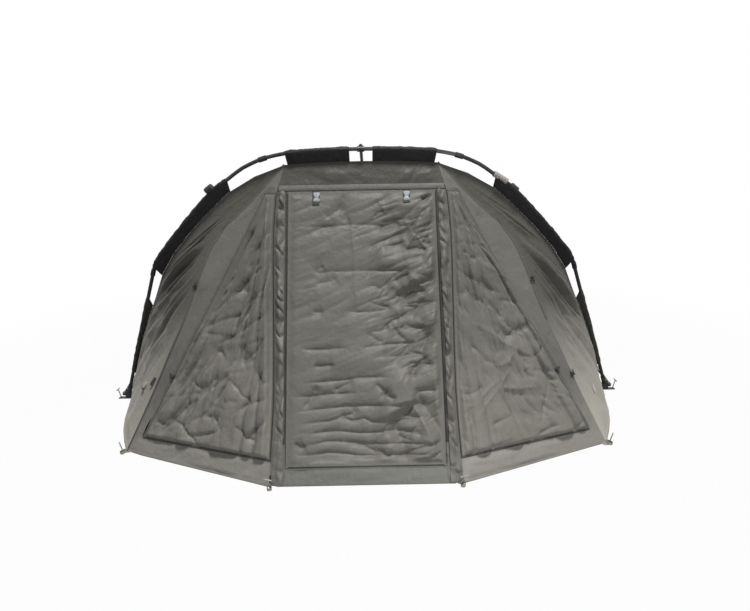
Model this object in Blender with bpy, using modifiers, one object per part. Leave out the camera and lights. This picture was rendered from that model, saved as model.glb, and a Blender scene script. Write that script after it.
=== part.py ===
"""Two-rib bivvy tent: a folding pole frame with its canopy pitched under it.

Metres, +Z up. The origin is on the ground, midway between the two hubs, and the door faces -Y.
Both ribs pivot at the hubs, so each is an outline in a plane that leans about the hub line.
"""

import math

import bmesh
import bpy
from mathutils import Matrix, Vector

# Frame
HUB_HEIGHT = 0.030
FRONT_LEAN_DEG = 20.0
REAR_LEAN_DEG = 48.0
FRONT_HALF_SPAN = 1.474
FRONT_RISE = 1.538
RIB_NESTING = 0.026
POLE_RADIUS = 0.0095
FIT_GAP = 0.0004
SEAT_GAP = 0.0003

# The front rib's corners, across and up, as shares of its half span and its rise
LOWER_JOINT_SHARES = (0.7646, 0.5683)
UPPER_JOINT_SHARES = (0.3175, 0.9733)
SHOULDER_SHARES = (
    (0.7381, 0.6177),
    (0.6988, 0.6632),
    (0.6493, 0.7172),
    (0.5753, 0.7939),
    (0.5068, 0.8596),
    (0.4328, 0.9135),
    (0.3847, 0.9454),
)
CROWN_SHARES = ((0.2436, 0.9896), (0.1723, 0.9954), (0.0800, 0.9990), (0.0, 1.0))

KNUCKLE_LENGTH = 0.040
KNUCKLE_RADIUS = 0.0128
KNUCKLE_RUN = 0.025
KNUCKLE_CHAMFER = 0.0012

# Hubs
HUB_BLOCK_INNER = 0.016
HUB_BLOCK_OUTER = 0.0180
HUB_BLOCK_DEPTH = 0.032
HUB_BLOCK_HEIGHT = 0.044
SOCKET_RADIUS = 0.0132
SOCKET_START = 0.018
SOCKET_END = 0.075
SOCKET_FLOOR = 0.027
LUG_REACH = 0.062
LUG_WIDTH = 0.026
LUG_THICKNESS = 0.005
BOLT_RADIUS = 0.0050
BOLT_HEAD_RADIUS = 0.0090
BOLT_HEAD_HEIGHT = 0.0050
BOLT_NUT_RADIUS = 0.0085
BOLT_NUT_HEIGHT = 0.0030
EYE_RADIUS = 0.0130
EYE_THICKNESS = 0.014
EYE_RELIEF_RADIUS = 0.025

# Ridge bar
BAR_RADIUS = 0.0080
BAR_SETBACK = 0.022
BAR_DROP = 0.025
BAR_OVERHANG = 0.060
BAR_EYE_RADIUS = 0.0100
BAR_EYE_THICKNESS = 0.0120
PIN_RADIUS = 0.0040
CLAMP_RADIUS = 0.0135
CLAMP_LENGTH = 0.034
CLEVIS_WALL = 0.0040
KNOB_RADIUS = 0.0060
KNOB_HEIGHT = 0.011
KNOB_RISE = 0.0037
GUIDE_WALL = 0.0040
GUIDE_RING_RADIUS = 0.0122
GUIDE_DEPTH = 0.022
GUIDE_BELOW = 0.012

# The canopy line that hangs inside each rib, as shares of the front rib's half span and rise
BRIM_CORNER_SHARES = (0.2483, 0.9525)
BRIM_TOP_SHARES = ((0.0, 0.9610), (0.1350, 0.9590))
CANOPY_SIDE_SHARES = (
    (0.4057, 0.8921),
    (0.5339, 0.7861),
    (0.6350, 0.6860),
    (0.7212, 0.5819),
    (0.7815, 0.4610),
    (0.8700, 0.2870),
    (0.9390, 0.1190),
    (0.9685, 0.0450),
)
CANOPY_FOOT_GAP = 0.0060

# Front wall
FRONT_PEG_HALF = 0.444
FRONT_PEG_REACH = 1.033
CORNER_INSET = 0.246
CORNER_REACH = 0.681
SEAM_BULGE = 0.147
SEAM_SHARES = (
    (0.0, 0.0),
    (0.115, 0.37),
    (0.182, 0.62),
    (0.265, 0.95),
    (0.352, 1.00),
    (0.452, 0.76),
    (0.566, 0.52),
    (0.670, 0.40),
    (0.800, 0.20),
    (1.0, 0.0),
)
SKIRT_BULGE = 0.035
BAND_DROP = 0.124
BAND_HALF = 0.405
FOLD_HALF = 0.420
FOLD_HEIGHT_SHARES = (0.85, 0.60, 0.30)
DOOR_HALF_TOP = 0.352
DOOR_HALF_FOOT = 0.372
DOOR_ZIP_HEIGHT = 0.078
COVER_TOP_HALF = 0.465
COVER_FOOT_INSET = 0.093
COVER_FOOT_HEIGHT = 0.080
COVER_ZIP_HEIGHT = 0.105
MESH_LAP = 0.010
MESH_THICKNESS = 0.0008
MESH_CLEARANCE = 0.0006
DOOR_FOLD_DEPTH = 0.007
COVER_FOLD_DEPTH = 0.008

# Back of the canopy
ROOF_SAG = 0.035
REAR_PEG_HALF = 0.780
REAR_PEG_REACH = 1.190
REAR_MIDDLE_REACH = 1.250
REAR_SIDE_BULGE = 0.120

# Cloth
CLOTH_THICKNESS = 0.0015
SEAM_GAP = 0.0004
MITRE_LIMIT_SHARE = 0.35
SLEEVE_THICKNESS = 0.0010
SLEEVE_LAYER_GAP = 0.0022
SLEEVE_CLEARANCE = 0.0006
SLEEVE_STEP = 0.003
GROUNDSHEET_INSET = 0.012
GROUNDSHEET_THICKNESS = 0.0015

# Sleeves: how far each stops short of the apex, joint or foot above and below it
TOP_SLEEVE_INSETS = (0.055, 0.112)
SHOULDER_SLEEVE_INSETS = (0.218, 0.038)
LEG_SLEEVE_INSETS = (0.182, 0.204)
REAR_SLEEVE_INSETS = (0.120, 0.078)

# Pegs
PEG_RADIUS = 0.0030
PEG_HEIGHT = 0.058
PEG_BAR_LENGTH = 0.040
PEG_BAR_RADIUS = 0.0036
PEG_LEAN_DEG = 14.0
TAB_REACH = 0.036
TAB_WIDTH = 0.024
TAB_THICKNESS = 0.0016
TAB_LIFT = 0.0020
TAB_OVERLAP = 0.006
TAB_SIDE_STEP = 0.020

# Buckles and door zip sliders
BUCKLE_HALF_SPACING = 0.214
BUCKLE_WIDTH = 0.032
BUCKLE_BODY_LENGTH = 0.026
BUCKLE_THICKNESS = 0.0090
BUCKLE_BELOW_BAND = 0.006
BUCKLE_SLOT_DEPTH = 0.019
BUCKLE_SLOT_HEIGHT = 0.0050
BUCKLE_SLOT_WIDTH = 0.024
BUCKLE_TAIL_LENGTH = 0.018
BUCKLE_TONGUE_LENGTH = 0.0175
STAND_OFF = 0.0004
SLIDER_WIDTH = 0.010
SLIDER_LENGTH = 0.016
SLIDER_THICKNESS = 0.0050
PULL_WIDTH = 0.006
PULL_LENGTH = 0.030
PULL_THICKNESS = 0.0018
LEFT_SLIDER_HEIGHT = 0.400
RIGHT_SLIDER_HEIGHT = 0.120
EDGE_BEVEL = 0.0015
HUB_BEVEL = 0.0030

# How finely things are divided
POLE_RESOLUTION = 3
PATH_STEPS = 2
ROUND_SIDES = 16
PEG_SIDES = 10
SIDE_ROWS = 12
BRIM_ROWS = 8
SIDE_COLUMNS = 5
FRAME_COLUMNS = 2
COVER_COLUMNS = 8
PILLAR_COLUMNS = 2
DOOR_ROWS = 24
DOOR_COLUMNS = 8
BACK_COLUMNS = 6
MESH_COLUMNS = 3
SLEEVE_ARC_STEPS = 5
CRISP_EDGE_DEG = 40

# Colours, roughness and metallic value
OLIVE = ((0.150, 0.146, 0.122, 1.0), 0.85, 0.0)
OLIVE_DARK = ((0.060, 0.058, 0.050, 1.0), 0.85, 0.0)
MESH_BLACK = ((0.030, 0.030, 0.030, 1.0), 0.90, 0.0)
SHEET_GREEN = ((0.075, 0.080, 0.060, 1.0), 0.70, 0.0)
POLE_GREY = ((0.050, 0.052, 0.056, 1.0), 0.35, 0.8)
PLASTIC_BLACK = ((0.025, 0.026, 0.028, 1.0), 0.50, 0.0)
BUCKLE_GREY = ((0.210, 0.220, 0.230, 1.0), 0.45, 0.0)
STEEL = ((0.420, 0.430, 0.440, 1.0), 0.35, 1.0)

ACROSS = Vector((1, 0, 0))
UP = Vector((0, 0, 1))
FRONT_LEAN = -math.radians(FRONT_LEAN_DEG)
REAR_LEAN = math.radians(REAR_LEAN_DEG)
REAR_HALF_SPAN = FRONT_HALF_SPAN + RIB_NESTING
REAR_RISE = FRONT_RISE + RIB_NESTING
BRIM_HEIGHT = HUB_HEIGHT + BRIM_CORNER_SHARES[1] * FRONT_RISE * math.cos(FRONT_LEAN)
BAND_HEIGHT = BRIM_HEIGHT - BAND_DROP
CORNER_HALF = FRONT_HALF_SPAN - CORNER_INSET
COVER_FOOT_HALF = CORNER_HALF - COVER_FOOT_INSET
BORE_RADIUS = POLE_RADIUS + FIT_GAP
PEG_HOLE_RADIUS = (PEG_RADIUS + FIT_GAP) / math.cos(math.pi / ROUND_SIDES)
MERGE_DISTANCE = SEAT_GAP / 10
SIDES = {"left": -1, "right": 1}


def start_scene():
    """Empty the file and make the two collections."""
    for thing in list(bpy.data.objects):
        bpy.data.objects.remove(thing)
    made = {}
    for key, name in (("parts", "bivvy_tent"), ("cutters", "cutters")):
        made[key] = bpy.data.collections.new(name)
        bpy.context.scene.collection.children.link(made[key])
    return made


GROUPS = start_scene()


def dress(thing, look):
    """Give an object its own plain material."""
    colour, roughness, metallic = look
    material = bpy.data.materials.new(thing.name)
    material.use_nodes = True
    shader = material.node_tree.nodes["Principled BSDF"]
    shader.inputs["Base Color"].default_value = colour
    shader.inputs["Roughness"].default_value = roughness
    shader.inputs["Metallic"].default_value = metallic
    thing.data.materials.append(material)


def add_object(name, data, look, matrix=Matrix.Identity(4)):
    """Link a mesh or a curve as one named piece."""
    thing = bpy.data.objects.new(name, data)
    thing.matrix_world = matrix
    GROUPS["parts"].objects.link(thing)
    dress(thing, look)
    return thing


def mesh_from(bm, name):
    """Close a bmesh into a mesh with its faces pointing out."""
    bmesh.ops.recalc_face_normals(bm, faces=bm.faces)
    mesh = bpy.data.meshes.new(name)
    bm.to_mesh(mesh)
    bm.free()
    return mesh


def smooth_round(mesh):
    """Shade a round shape smooth and keep its edges crisp."""
    mesh.shade_smooth()
    mesh.set_sharp_from_angle(angle=math.radians(CRISP_EDGE_DEG))
    return mesh


def turn_to(direction, origin):
    """A placement whose local Z runs along a direction."""
    return Matrix.Translation(origin) @ direction.to_track_quat("Z", "Y").to_matrix().to_4x4()


# Paths


def smooth(points, steps):
    """A Catmull-Rom curve through points, with so many steps in each span."""
    ends = [points[0] * 2 - points[1], *points, points[-1] * 2 - points[-2]]
    path = []
    for i in range(1, len(ends) - 2):
        p, q, r, s = ends[i - 1 : i + 3]
        for k in range(steps):
            t = k / steps
            path.append(
                (q * 2 + (r - p) * t + (p * 2 - q * 5 + r * 4 - s) * t**2 + (q * 3 - p - r * 3 + s) * t**3) / 2
            )
    path.append(points[-1].copy())
    return path


def path_length(points):
    """The length of a run of points."""
    return sum((b - a).length for a, b in zip(points, points[1:]))


def point_along(points, distance):
    """The point at a distance along a run of points, and the direction there."""
    for a, b in zip(points, points[1:]):
        step = (b - a).length
        if distance <= step:
            return a.lerp(b, distance / step), (b - a).normalized()
        distance -= step
    return points[-1].copy(), (points[-1] - points[-2]).normalized()


def spaced(points, count):
    """A run of points divided into equal steps."""
    total = path_length(points)
    return [point_along(points, total * i / count)[0] for i in range(count + 1)]


def straight(a, b, count):
    """Equal steps along a straight line."""
    return [a.lerp(b, i / count) for i in range(count + 1)]


def leaning(lean, side, across, up):
    """A place in a rib's plane, which leans about the hub line."""
    return Vector((side * across, up * math.sin(lean), HUB_HEIGHT + up * math.cos(lean)))


def rib_outline(half_span, rise):
    """A rib's half outline, flat, from its foot to its apex, cut at its two joints."""
    foot = Vector((half_span, 0))
    lower = Vector((LOWER_JOINT_SHARES[0] * half_span, LOWER_JOINT_SHARES[1] * rise))
    upper = Vector((UPPER_JOINT_SHARES[0] * half_span, UPPER_JOINT_SHARES[1] * rise))
    shoulder = [Vector((x * half_span, y * rise)) for x, y in SHOULDER_SHARES]
    crown = [Vector((x * half_span, y * rise)) for x, y in CROWN_SHARES]
    leg_way = (lower - foot).normalized()
    upper_way = (crown[0] - shoulder[-1]).normalized()
    bend = smooth([lower + leg_way * KNUCKLE_RUN, *shoulder, upper - upper_way * KNUCKLE_RUN], PATH_STEPS)
    top = smooth([upper + upper_way * KNUCKLE_RUN, *crown], PATH_STEPS)
    return {"leg": [foot, lower], "shoulder": [lower, *bend, upper], "crown": [upper, *top]}


FRONT = rib_outline(FRONT_HALF_SPAN, FRONT_RISE)
REAR = rib_outline(REAR_HALF_SPAN, REAR_RISE)
LEG_WAY = (FRONT["leg"][1] - FRONT["leg"][0]).normalized()


def stood(points, lean, side):
    """A flat outline set up in its leaning plane."""
    return [leaning(lean, side, p.x, p.y) for p in points]


def rib_from_apex(outline, lean, side):
    """A rib's centre line from its apex down to its foot."""
    flat = [*reversed(outline["crown"]), *reversed(outline["shoulder"][:-1]), outline["leg"][0]]
    return stood(flat, lean, side)


def canopy_flat():
    """The canopy line's half outline, flat, in its top run and its side run."""
    corner = Vector((BRIM_CORNER_SHARES[0] * FRONT_HALF_SPAN, BRIM_CORNER_SHARES[1] * FRONT_RISE))
    top = [Vector((x * FRONT_HALF_SPAN, y * FRONT_RISE)) for x, y in BRIM_TOP_SHARES]
    side = [Vector((x * FRONT_HALF_SPAN, y * FRONT_RISE)) for x, y in CANOPY_SIDE_SHARES]
    return smooth([*top, corner], PATH_STEPS), smooth([corner, *side], PATH_STEPS)


def canopy_foot(side):
    """Where the canopy meets the ground beside a hub."""
    return Vector((side * (FRONT_HALF_SPAN - HUB_BLOCK_INNER - CANOPY_FOOT_GAP), 0, 0))


def canopy_line(lean, side):
    """The canopy line in one rib's plane, in its top run and its side run."""
    top, flank = canopy_flat()
    return stood(top, lean, side), [*stood(flank, lean, side), canopy_foot(side)]


# Poles, joints and hubs


def tube(name, points, radius, look, resolution=POLE_RESOLUTION):
    """A round bar along a run of points, with flat ends."""
    data = bpy.data.curves.new(name, "CURVE")
    data.dimensions = "3D"
    data.bevel_depth = radius
    data.bevel_resolution = resolution
    data.use_fill_caps = True
    spline = data.splines.new("POLY")
    spline.points.add(len(points) - 1)
    for place, p in zip(spline.points, points):
        place.co = (*p, 1)
    spline.use_smooth = True
    return add_object(name, data, look)


def as_mesh(thing):
    """Turn a curve object into a closed mesh object of the same name."""
    view = bpy.context.evaluated_depsgraph_get()
    mesh = bpy.data.meshes.new_from_object(thing.evaluated_get(view))
    bm = bmesh.new()
    bm.from_mesh(mesh)
    bmesh.ops.remove_doubles(bm, verts=bm.verts, dist=MERGE_DISTANCE)
    bm.to_mesh(mesh)
    bm.free()
    name, matrix = thing.name, thing.matrix_world.copy()
    bpy.data.objects.remove(thing)
    made = bpy.data.objects.new(name, mesh)
    made.matrix_world = matrix
    GROUPS["parts"].objects.link(made)
    return made


def shorten(points, at_start, at_end):
    """Trim a path at its ends, so that it stops short of what it meets."""
    first = points[0] + (points[1] - points[0]).normalized() * at_start
    last = points[-1] + (points[-2] - points[-1]).normalized() * at_end
    return [first, *points[1:-1], last]


def knuckle(name, centre, direction):
    """A short sleeve over the meeting ends of two poles."""
    half = KNUCKLE_LENGTH / 2
    bore = BORE_RADIUS
    wall = KNUCKLE_RADIUS
    outline = (
        (wall - KNUCKLE_CHAMFER, half),
        (wall, half - KNUCKLE_CHAMFER),
        (wall, KNUCKLE_CHAMFER - half),
        (wall - KNUCKLE_CHAMFER, -half),
        (bore, -half),
        (bore, half),
    )
    return turned(name, outline, True, PLASTIC_BLACK, turn_to(direction, centre))


def turned(name, outline, closed, look, matrix):
    """A piece turned about its own Z axis from an outline of radii and heights."""
    mesh = bpy.data.meshes.new(name)
    count = len(outline)
    edges = [(i, (i + 1) % count) for i in range(count if closed else count - 1)]
    mesh.from_pydata([(x, 0, z) for x, z in outline], edges, [])
    thing = add_object(name, mesh, look, matrix)
    turn = thing.modifiers.new("turned", "SCREW")
    turn.steps = ROUND_SIDES
    turn.render_steps = ROUND_SIDES
    turn.use_merge_vertices = True
    turn.merge_threshold = MERGE_DISTANCE
    turn.use_smooth_shade = True
    return thing


def box_mesh(size, centre=Vector((0, 0, 0))):
    """A box of a given size as a bmesh."""
    bm = bmesh.new()
    bmesh.ops.create_cube(bm, size=1)
    bmesh.ops.scale(bm, vec=size, verts=bm.verts)
    bmesh.ops.translate(bm, vec=centre, verts=bm.verts)
    return bm


def rod_mesh(radius, length, sides=ROUND_SIDES):
    """A cylinder along local Z, centred, as a bmesh."""
    bm = bmesh.new()
    bmesh.ops.create_cone(bm, cap_ends=True, segments=sides, radius1=radius, radius2=radius, depth=length)
    return bm


def helper(bm, name, matrix=Matrix.Identity(4)):
    """A shape that only cuts or joins another."""
    thing = bpy.data.objects.new(name, mesh_from(bm, name))
    thing.matrix_world = matrix
    thing.hide_render = True
    thing.display_type = "WIRE"
    GROUPS["cutters"].objects.link(thing)
    return thing


def combine(thing, other, how):
    """Join or cut one object with a helper."""
    step = thing.modifiers.new(other.name, "BOOLEAN")
    step.operation = how
    step.object = other


def bevel(thing, width=EDGE_BEVEL):
    """Round an object's edges a little."""
    step = thing.modifiers.new("edges", "BEVEL")
    step.width = width
    step.segments = 1
    step.limit_method = "ANGLE"


def make_front_rib():
    """The five poles of the front rib, butted inside their knuckles."""
    hub_stop = SOCKET_FLOOR + FIT_GAP
    for word, side in SIDES.items():
        leg = stood(FRONT["leg"], FRONT_LEAN, side)
        tube(f"front_leg_{word}", shorten(leg, hub_stop, SEAT_GAP), POLE_RADIUS, POLE_GREY)
        shoulder = stood(FRONT["shoulder"], FRONT_LEAN, side)
        tube(f"front_shoulder_{word}", shorten(shoulder, SEAT_GAP, SEAT_GAP), POLE_RADIUS, POLE_GREY)
        low_way = leg[1] - leg[0]
        high_way = shoulder[-1] - shoulder[-2]
        knuckle(f"front_knuckle_lower_{word}", leg[1], low_way)
        knuckle(f"front_knuckle_upper_{word}", shoulder[-1], high_way)
    left = stood(FRONT["crown"], FRONT_LEAN, SIDES["left"])
    right = stood(FRONT["crown"], FRONT_LEAN, SIDES["right"])
    crown = [*left, *reversed(right[:-1])]
    tube("front_crown", shorten(crown, SEAT_GAP, SEAT_GAP), POLE_RADIUS, POLE_GREY)


def hub_point(side, half_span=FRONT_HALF_SPAN):
    """A point on the hub axis."""
    return Vector((side * half_span, 0, HUB_HEIGHT))


def make_hub(word, side):
    """A hub: the front leg's socket, the rear leg's pivot and a lug for a peg."""
    centre = hub_point(side)
    block_width = HUB_BLOCK_INNER + HUB_BLOCK_OUTER
    block_shift = (HUB_BLOCK_OUTER - HUB_BLOCK_INNER) / 2
    block_centre = Vector((centre.x + side * block_shift, 0, HUB_BLOCK_HEIGHT / 2))
    block = box_mesh(Vector((block_width, HUB_BLOCK_DEPTH, HUB_BLOCK_HEIGHT)), block_centre)
    bmesh.ops.bevel(block, geom=block.edges, offset=HUB_BEVEL, segments=2, affect="EDGES")
    name = f"hub_{word}"
    hub = add_object(name, mesh_from(block, name), PLASTIC_BLACK)
    way = leaning(FRONT_LEAN, side, LEG_WAY.x, LEG_WAY.y) - leaning(FRONT_LEAN, side, 0, 0)
    socket_length = SOCKET_END - SOCKET_START
    socket_centre = centre + way * (SOCKET_START + SOCKET_END) / 2
    socket = helper(rod_mesh(SOCKET_RADIUS, socket_length), f"{name}_socket", turn_to(way, socket_centre))
    combine(hub, socket, "UNION")
    lug_centre = Vector((centre.x + side * LUG_REACH / 2, 0, LUG_THICKNESS / 2))
    lug_size = Vector((LUG_REACH, LUG_WIDTH, LUG_THICKNESS))
    combine(hub, helper(box_mesh(lug_size, lug_centre), f"{name}_lug"), "UNION")
    bore_length = SOCKET_END
    bore_centre = centre + way * (SOCKET_FLOOR + bore_length / 2)
    combine(hub, helper(rod_mesh(BORE_RADIUS, bore_length), f"{name}_bore", turn_to(way, bore_centre)), "DIFFERENCE")
    pivot = rod_mesh(BOLT_RADIUS + FIT_GAP, LUG_REACH * 2)
    combine(hub, helper(pivot, f"{name}_pivot", turn_to(ACROSS, centre)), "DIFFERENCE")
    foot, lean = hub_peg_place(side)
    hole = rod_mesh(PEG_HOLE_RADIUS, LUG_REACH)
    combine(hub, helper(hole, f"{name}_peg_hole", turn_to(lean, foot)), "DIFFERENCE")
    make_hub_bolt(word, side)


def make_hub_bolt(word, side):
    """The bolt that the rear leg turns on, with its nut on the inner side."""
    inner = FRONT_HALF_SPAN - HUB_BLOCK_INNER - SEAT_GAP
    outer = REAR_HALF_SPAN + EYE_THICKNESS / 2 + SEAT_GAP
    centre = hub_point(side, (inner + outer) / 2)
    half = (outer - inner) / 2
    outline = (
        (0, half + BOLT_HEAD_HEIGHT),
        (BOLT_HEAD_RADIUS, half + BOLT_HEAD_HEIGHT),
        (BOLT_HEAD_RADIUS, half),
        (BOLT_RADIUS, half),
        (BOLT_RADIUS, -half),
        (BOLT_NUT_RADIUS, -half),
        (BOLT_NUT_RADIUS, -half - BOLT_NUT_HEIGHT),
        (0, -half - BOLT_NUT_HEIGHT),
    )
    name = f"hub_bolt_{word}"
    turned(name, outline, False, STEEL, turn_to(ACROSS * side, centre))


def make_rear_rib(pivot):
    """The rear rib: two legs with pivot eyes, one arch, and the ridge bar's guide."""
    pieces = []
    for word, side in SIDES.items():
        leg = stood(REAR["leg"], REAR_LEAN, side)
        blank = as_mesh(tube(f"rear_leg_{word}", shorten(leg, EYE_RADIUS / 2, SEAT_GAP), POLE_RADIUS, POLE_GREY))
        dress(blank, POLE_GREY)
        centre = hub_point(side, REAR_HALF_SPAN)
        eye = helper(rod_mesh(EYE_RADIUS, EYE_THICKNESS), f"rear_eye_{word}", turn_to(ACROSS, centre))
        combine(blank, eye, "UNION")
        relief_centre = centre - ACROSS * (side * (EYE_THICKNESS + LUG_REACH) / 2)
        relief_rod = rod_mesh(EYE_RELIEF_RADIUS, LUG_REACH)
        combine(blank, helper(relief_rod, f"rear_relief_{word}", turn_to(ACROSS, relief_centre)), "DIFFERENCE")
        bore = helper(rod_mesh(BOLT_RADIUS + FIT_GAP, LUG_REACH), f"rear_bore_{word}", turn_to(ACROSS, centre))
        combine(blank, bore, "DIFFERENCE")
        pieces.append(blank)
        pieces.append(knuckle(f"rear_knuckle_{word}", leg[1], leg[1] - leg[0]))
    halves = []
    for side in SIDES.values():
        flat = [*REAR["shoulder"][:-1], *REAR["crown"]]
        halves.append(stood(flat, REAR_LEAN, side))
    arch = [*halves[0], *reversed(halves[1][:-1])]
    pieces.append(tube("rear_arch", shorten(arch, SEAT_GAP, SEAT_GAP), POLE_RADIUS, POLE_GREY))
    pieces.append(make_rear_guide())
    for piece in pieces:
        hang_on(piece, pivot)


def hinge_at(name, place, direction=ACROSS):
    """An empty on a joint's axis, with its local X along the axis."""
    marker = bpy.data.objects.new(name, None)
    marker.matrix_world = (
        Matrix.Translation(place) @ direction.to_track_quat("X", "Z").to_matrix().to_4x4()
    )
    GROUPS["parts"].objects.link(marker)
    return marker


def hang_on(piece, marker):
    """Parent a piece to a joint's empty and leave it where it is."""
    place = piece.matrix_world.copy()
    piece.parent = marker
    piece.matrix_parent_inverse = marker.matrix_world.inverted()
    piece.matrix_basis = place


# Ridge bar


def bar_ends():
    """The ridge bar's pivot behind the front crown and its guide point under the rear arch."""
    radius = REAR_RISE - BAR_DROP
    setback = math.asin(BAR_SETBACK / radius)
    return leaning(FRONT_LEAN + setback, 1, 0, radius), leaning(REAR_LEAN, 1, 0, radius)


def make_ridge_bar(marker):
    """The bar that pushes the ribs apart, pivoted at the front and sliding at the back."""
    front, rear = bar_ends()
    way = (rear - front).normalized()
    start = front + way * BAR_EYE_RADIUS / 2
    end = rear + way * BAR_OVERHANG
    bar = as_mesh(tube("ridge_bar", [start, end], BAR_RADIUS, POLE_GREY))
    dress(bar, POLE_GREY)
    eye = helper(rod_mesh(BAR_EYE_RADIUS, BAR_EYE_THICKNESS), "ridge_bar_eye", turn_to(ACROSS, front))
    combine(bar, eye, "UNION")
    flats = box_mesh(Vector((BAR_EYE_THICKNESS, BAR_EYE_RADIUS * 4, BAR_EYE_RADIUS * 4)))
    bmesh.ops.translate(flats, vec=ACROSS * BAR_EYE_THICKNESS, verts=flats.verts)
    for word, side in SIDES.items():
        flat = helper(flats.copy(), f"ridge_bar_flat_{word}", turn_to(UP, front) @ Matrix.Scale(side, 4, ACROSS))
        combine(bar, flat, "DIFFERENCE")
    flats.free()
    bore = helper(rod_mesh(PIN_RADIUS + FIT_GAP, CLAMP_LENGTH), "ridge_bar_bore", turn_to(ACROSS, front))
    combine(bar, bore, "DIFFERENCE")
    hang_on(bar, marker)


def make_apex_block():
    """The clamp at the front rib's apex, with the ridge bar's clevis behind it."""
    apex = leaning(FRONT_LEAN, 1, 0, FRONT_RISE)
    front, _ = bar_ends()
    name = "apex_block"
    clamp = smooth_round(mesh_from(rod_mesh(CLAMP_RADIUS, CLAMP_LENGTH), name))
    block = add_object(name, clamp, PLASTIC_BLACK)
    block.matrix_world = turn_to(ACROSS, apex)
    reach = front - apex
    clevis_width = BAR_EYE_THICKNESS + (CLEVIS_WALL + FIT_GAP) * 2
    cheek = box_mesh(Vector((clevis_width, BAR_EYE_RADIUS * 2, reach.length)))
    cheek_place = turn_to(reach.normalized(), apex + reach / 2)
    cheek_turn = Matrix.Rotation(turn_about(cheek_place), 4, "Z")
    combine(block, helper(cheek, f"{name}_cheeks", cheek_place @ cheek_turn), "UNION")
    round_end = helper(rod_mesh(BAR_EYE_RADIUS, clevis_width), f"{name}_round", turn_to(ACROSS, front))
    combine(block, round_end, "UNION")
    knob = helper(rod_mesh(KNOB_RADIUS, KNOB_HEIGHT), f"{name}_knob")
    knob.matrix_world = turn_to(UP, apex + UP * (CLAMP_RADIUS + KNOB_RISE))
    combine(block, knob, "UNION")
    bore = helper(rod_mesh(BORE_RADIUS, CLAMP_LENGTH * 2), f"{name}_bore", turn_to(ACROSS, apex))
    combine(block, bore, "DIFFERENCE")
    slot_width = BAR_EYE_THICKNESS + FIT_GAP * 2
    slot_reach = BAR_EYE_RADIUS + FIT_GAP * 2
    slot = helper(rod_mesh(slot_reach, slot_width), f"{name}_slot", turn_to(ACROSS, front))
    combine(block, slot, "DIFFERENCE")
    pin = helper(rod_mesh(PIN_RADIUS, clevis_width - CLEVIS_WALL), f"{name}_pin", turn_to(ACROSS, front))
    combine(block, pin, "UNION")


def turn_about(placement):
    """The spin about local Z that lays local X along the world's X."""
    local = placement.to_3x3().inverted() @ ACROSS
    return math.atan2(local.y, local.x)


def make_rear_guide():
    """The fork under the rear arch that the ridge bar slides through."""
    apex = leaning(REAR_LEAN, 1, 0, REAR_RISE)
    down = (leaning(REAR_LEAN, 1, 0, 0) - apex).normalized()
    name = "rear_guide"
    wall_gap = (BAR_RADIUS + FIT_GAP) * 2
    width = wall_gap + GUIDE_WALL * 2
    fork_length = BAR_DROP + GUIDE_BELOW
    place = turn_to(down, apex + down * fork_length / 2)
    place = place @ Matrix.Rotation(turn_about(place), 4, "Z")
    fork = box_mesh(Vector((width, GUIDE_DEPTH, fork_length)))
    guide = add_object(name, mesh_from(fork, name), PLASTIC_BLACK, place)
    slot = box_mesh(Vector((wall_gap, GUIDE_DEPTH * 2, fork_length * 2)))
    combine(guide, helper(slot, f"{name}_slot", place), "DIFFERENCE")
    ring = helper(rod_mesh(GUIDE_RING_RADIUS, width), f"{name}_ring", turn_to(ACROSS, apex))
    combine(guide, ring, "UNION")
    bore = helper(rod_mesh(BORE_RADIUS, width * 2), f"{name}_bore", turn_to(ACROSS, apex))
    combine(guide, bore, "DIFFERENCE")
    return guide


# Canopy


def lofted(first, last, columns, shape=None):
    """Rows of points between two runs, with an optional push away from straight."""
    rows = []
    for i, (a, b) in enumerate(zip(first, last)):
        row = [a.lerp(b, j / columns) for j in range(columns + 1)]
        if shape:
            down = i / (len(first) - 1)
            row = [p + shape(down, j / columns) for j, p in enumerate(row)]
        rows.append(row)
    return rows


def grid_mesh(rows):
    """An open surface over rows of points, in triangles, so that both its faces split alike."""
    bm = bmesh.new()
    grid = [[bm.verts.new(p) for p in row] for row in rows]
    for upper, lower in zip(grid, grid[1:]):
        for a, b, c, d in zip(upper, upper[1:], lower[1:], lower):
            bm.faces.new((a, b, c, d))
    bmesh.ops.remove_doubles(bm, verts=bm.verts, dist=SEAT_GAP)
    bmesh.ops.triangulate(bm, faces=bm.faces)
    return bm


def seam_key(p):
    """A place rounded, so that panels that share it can find each other."""
    return tuple(round(v / SEAT_GAP) for v in p)


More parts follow.
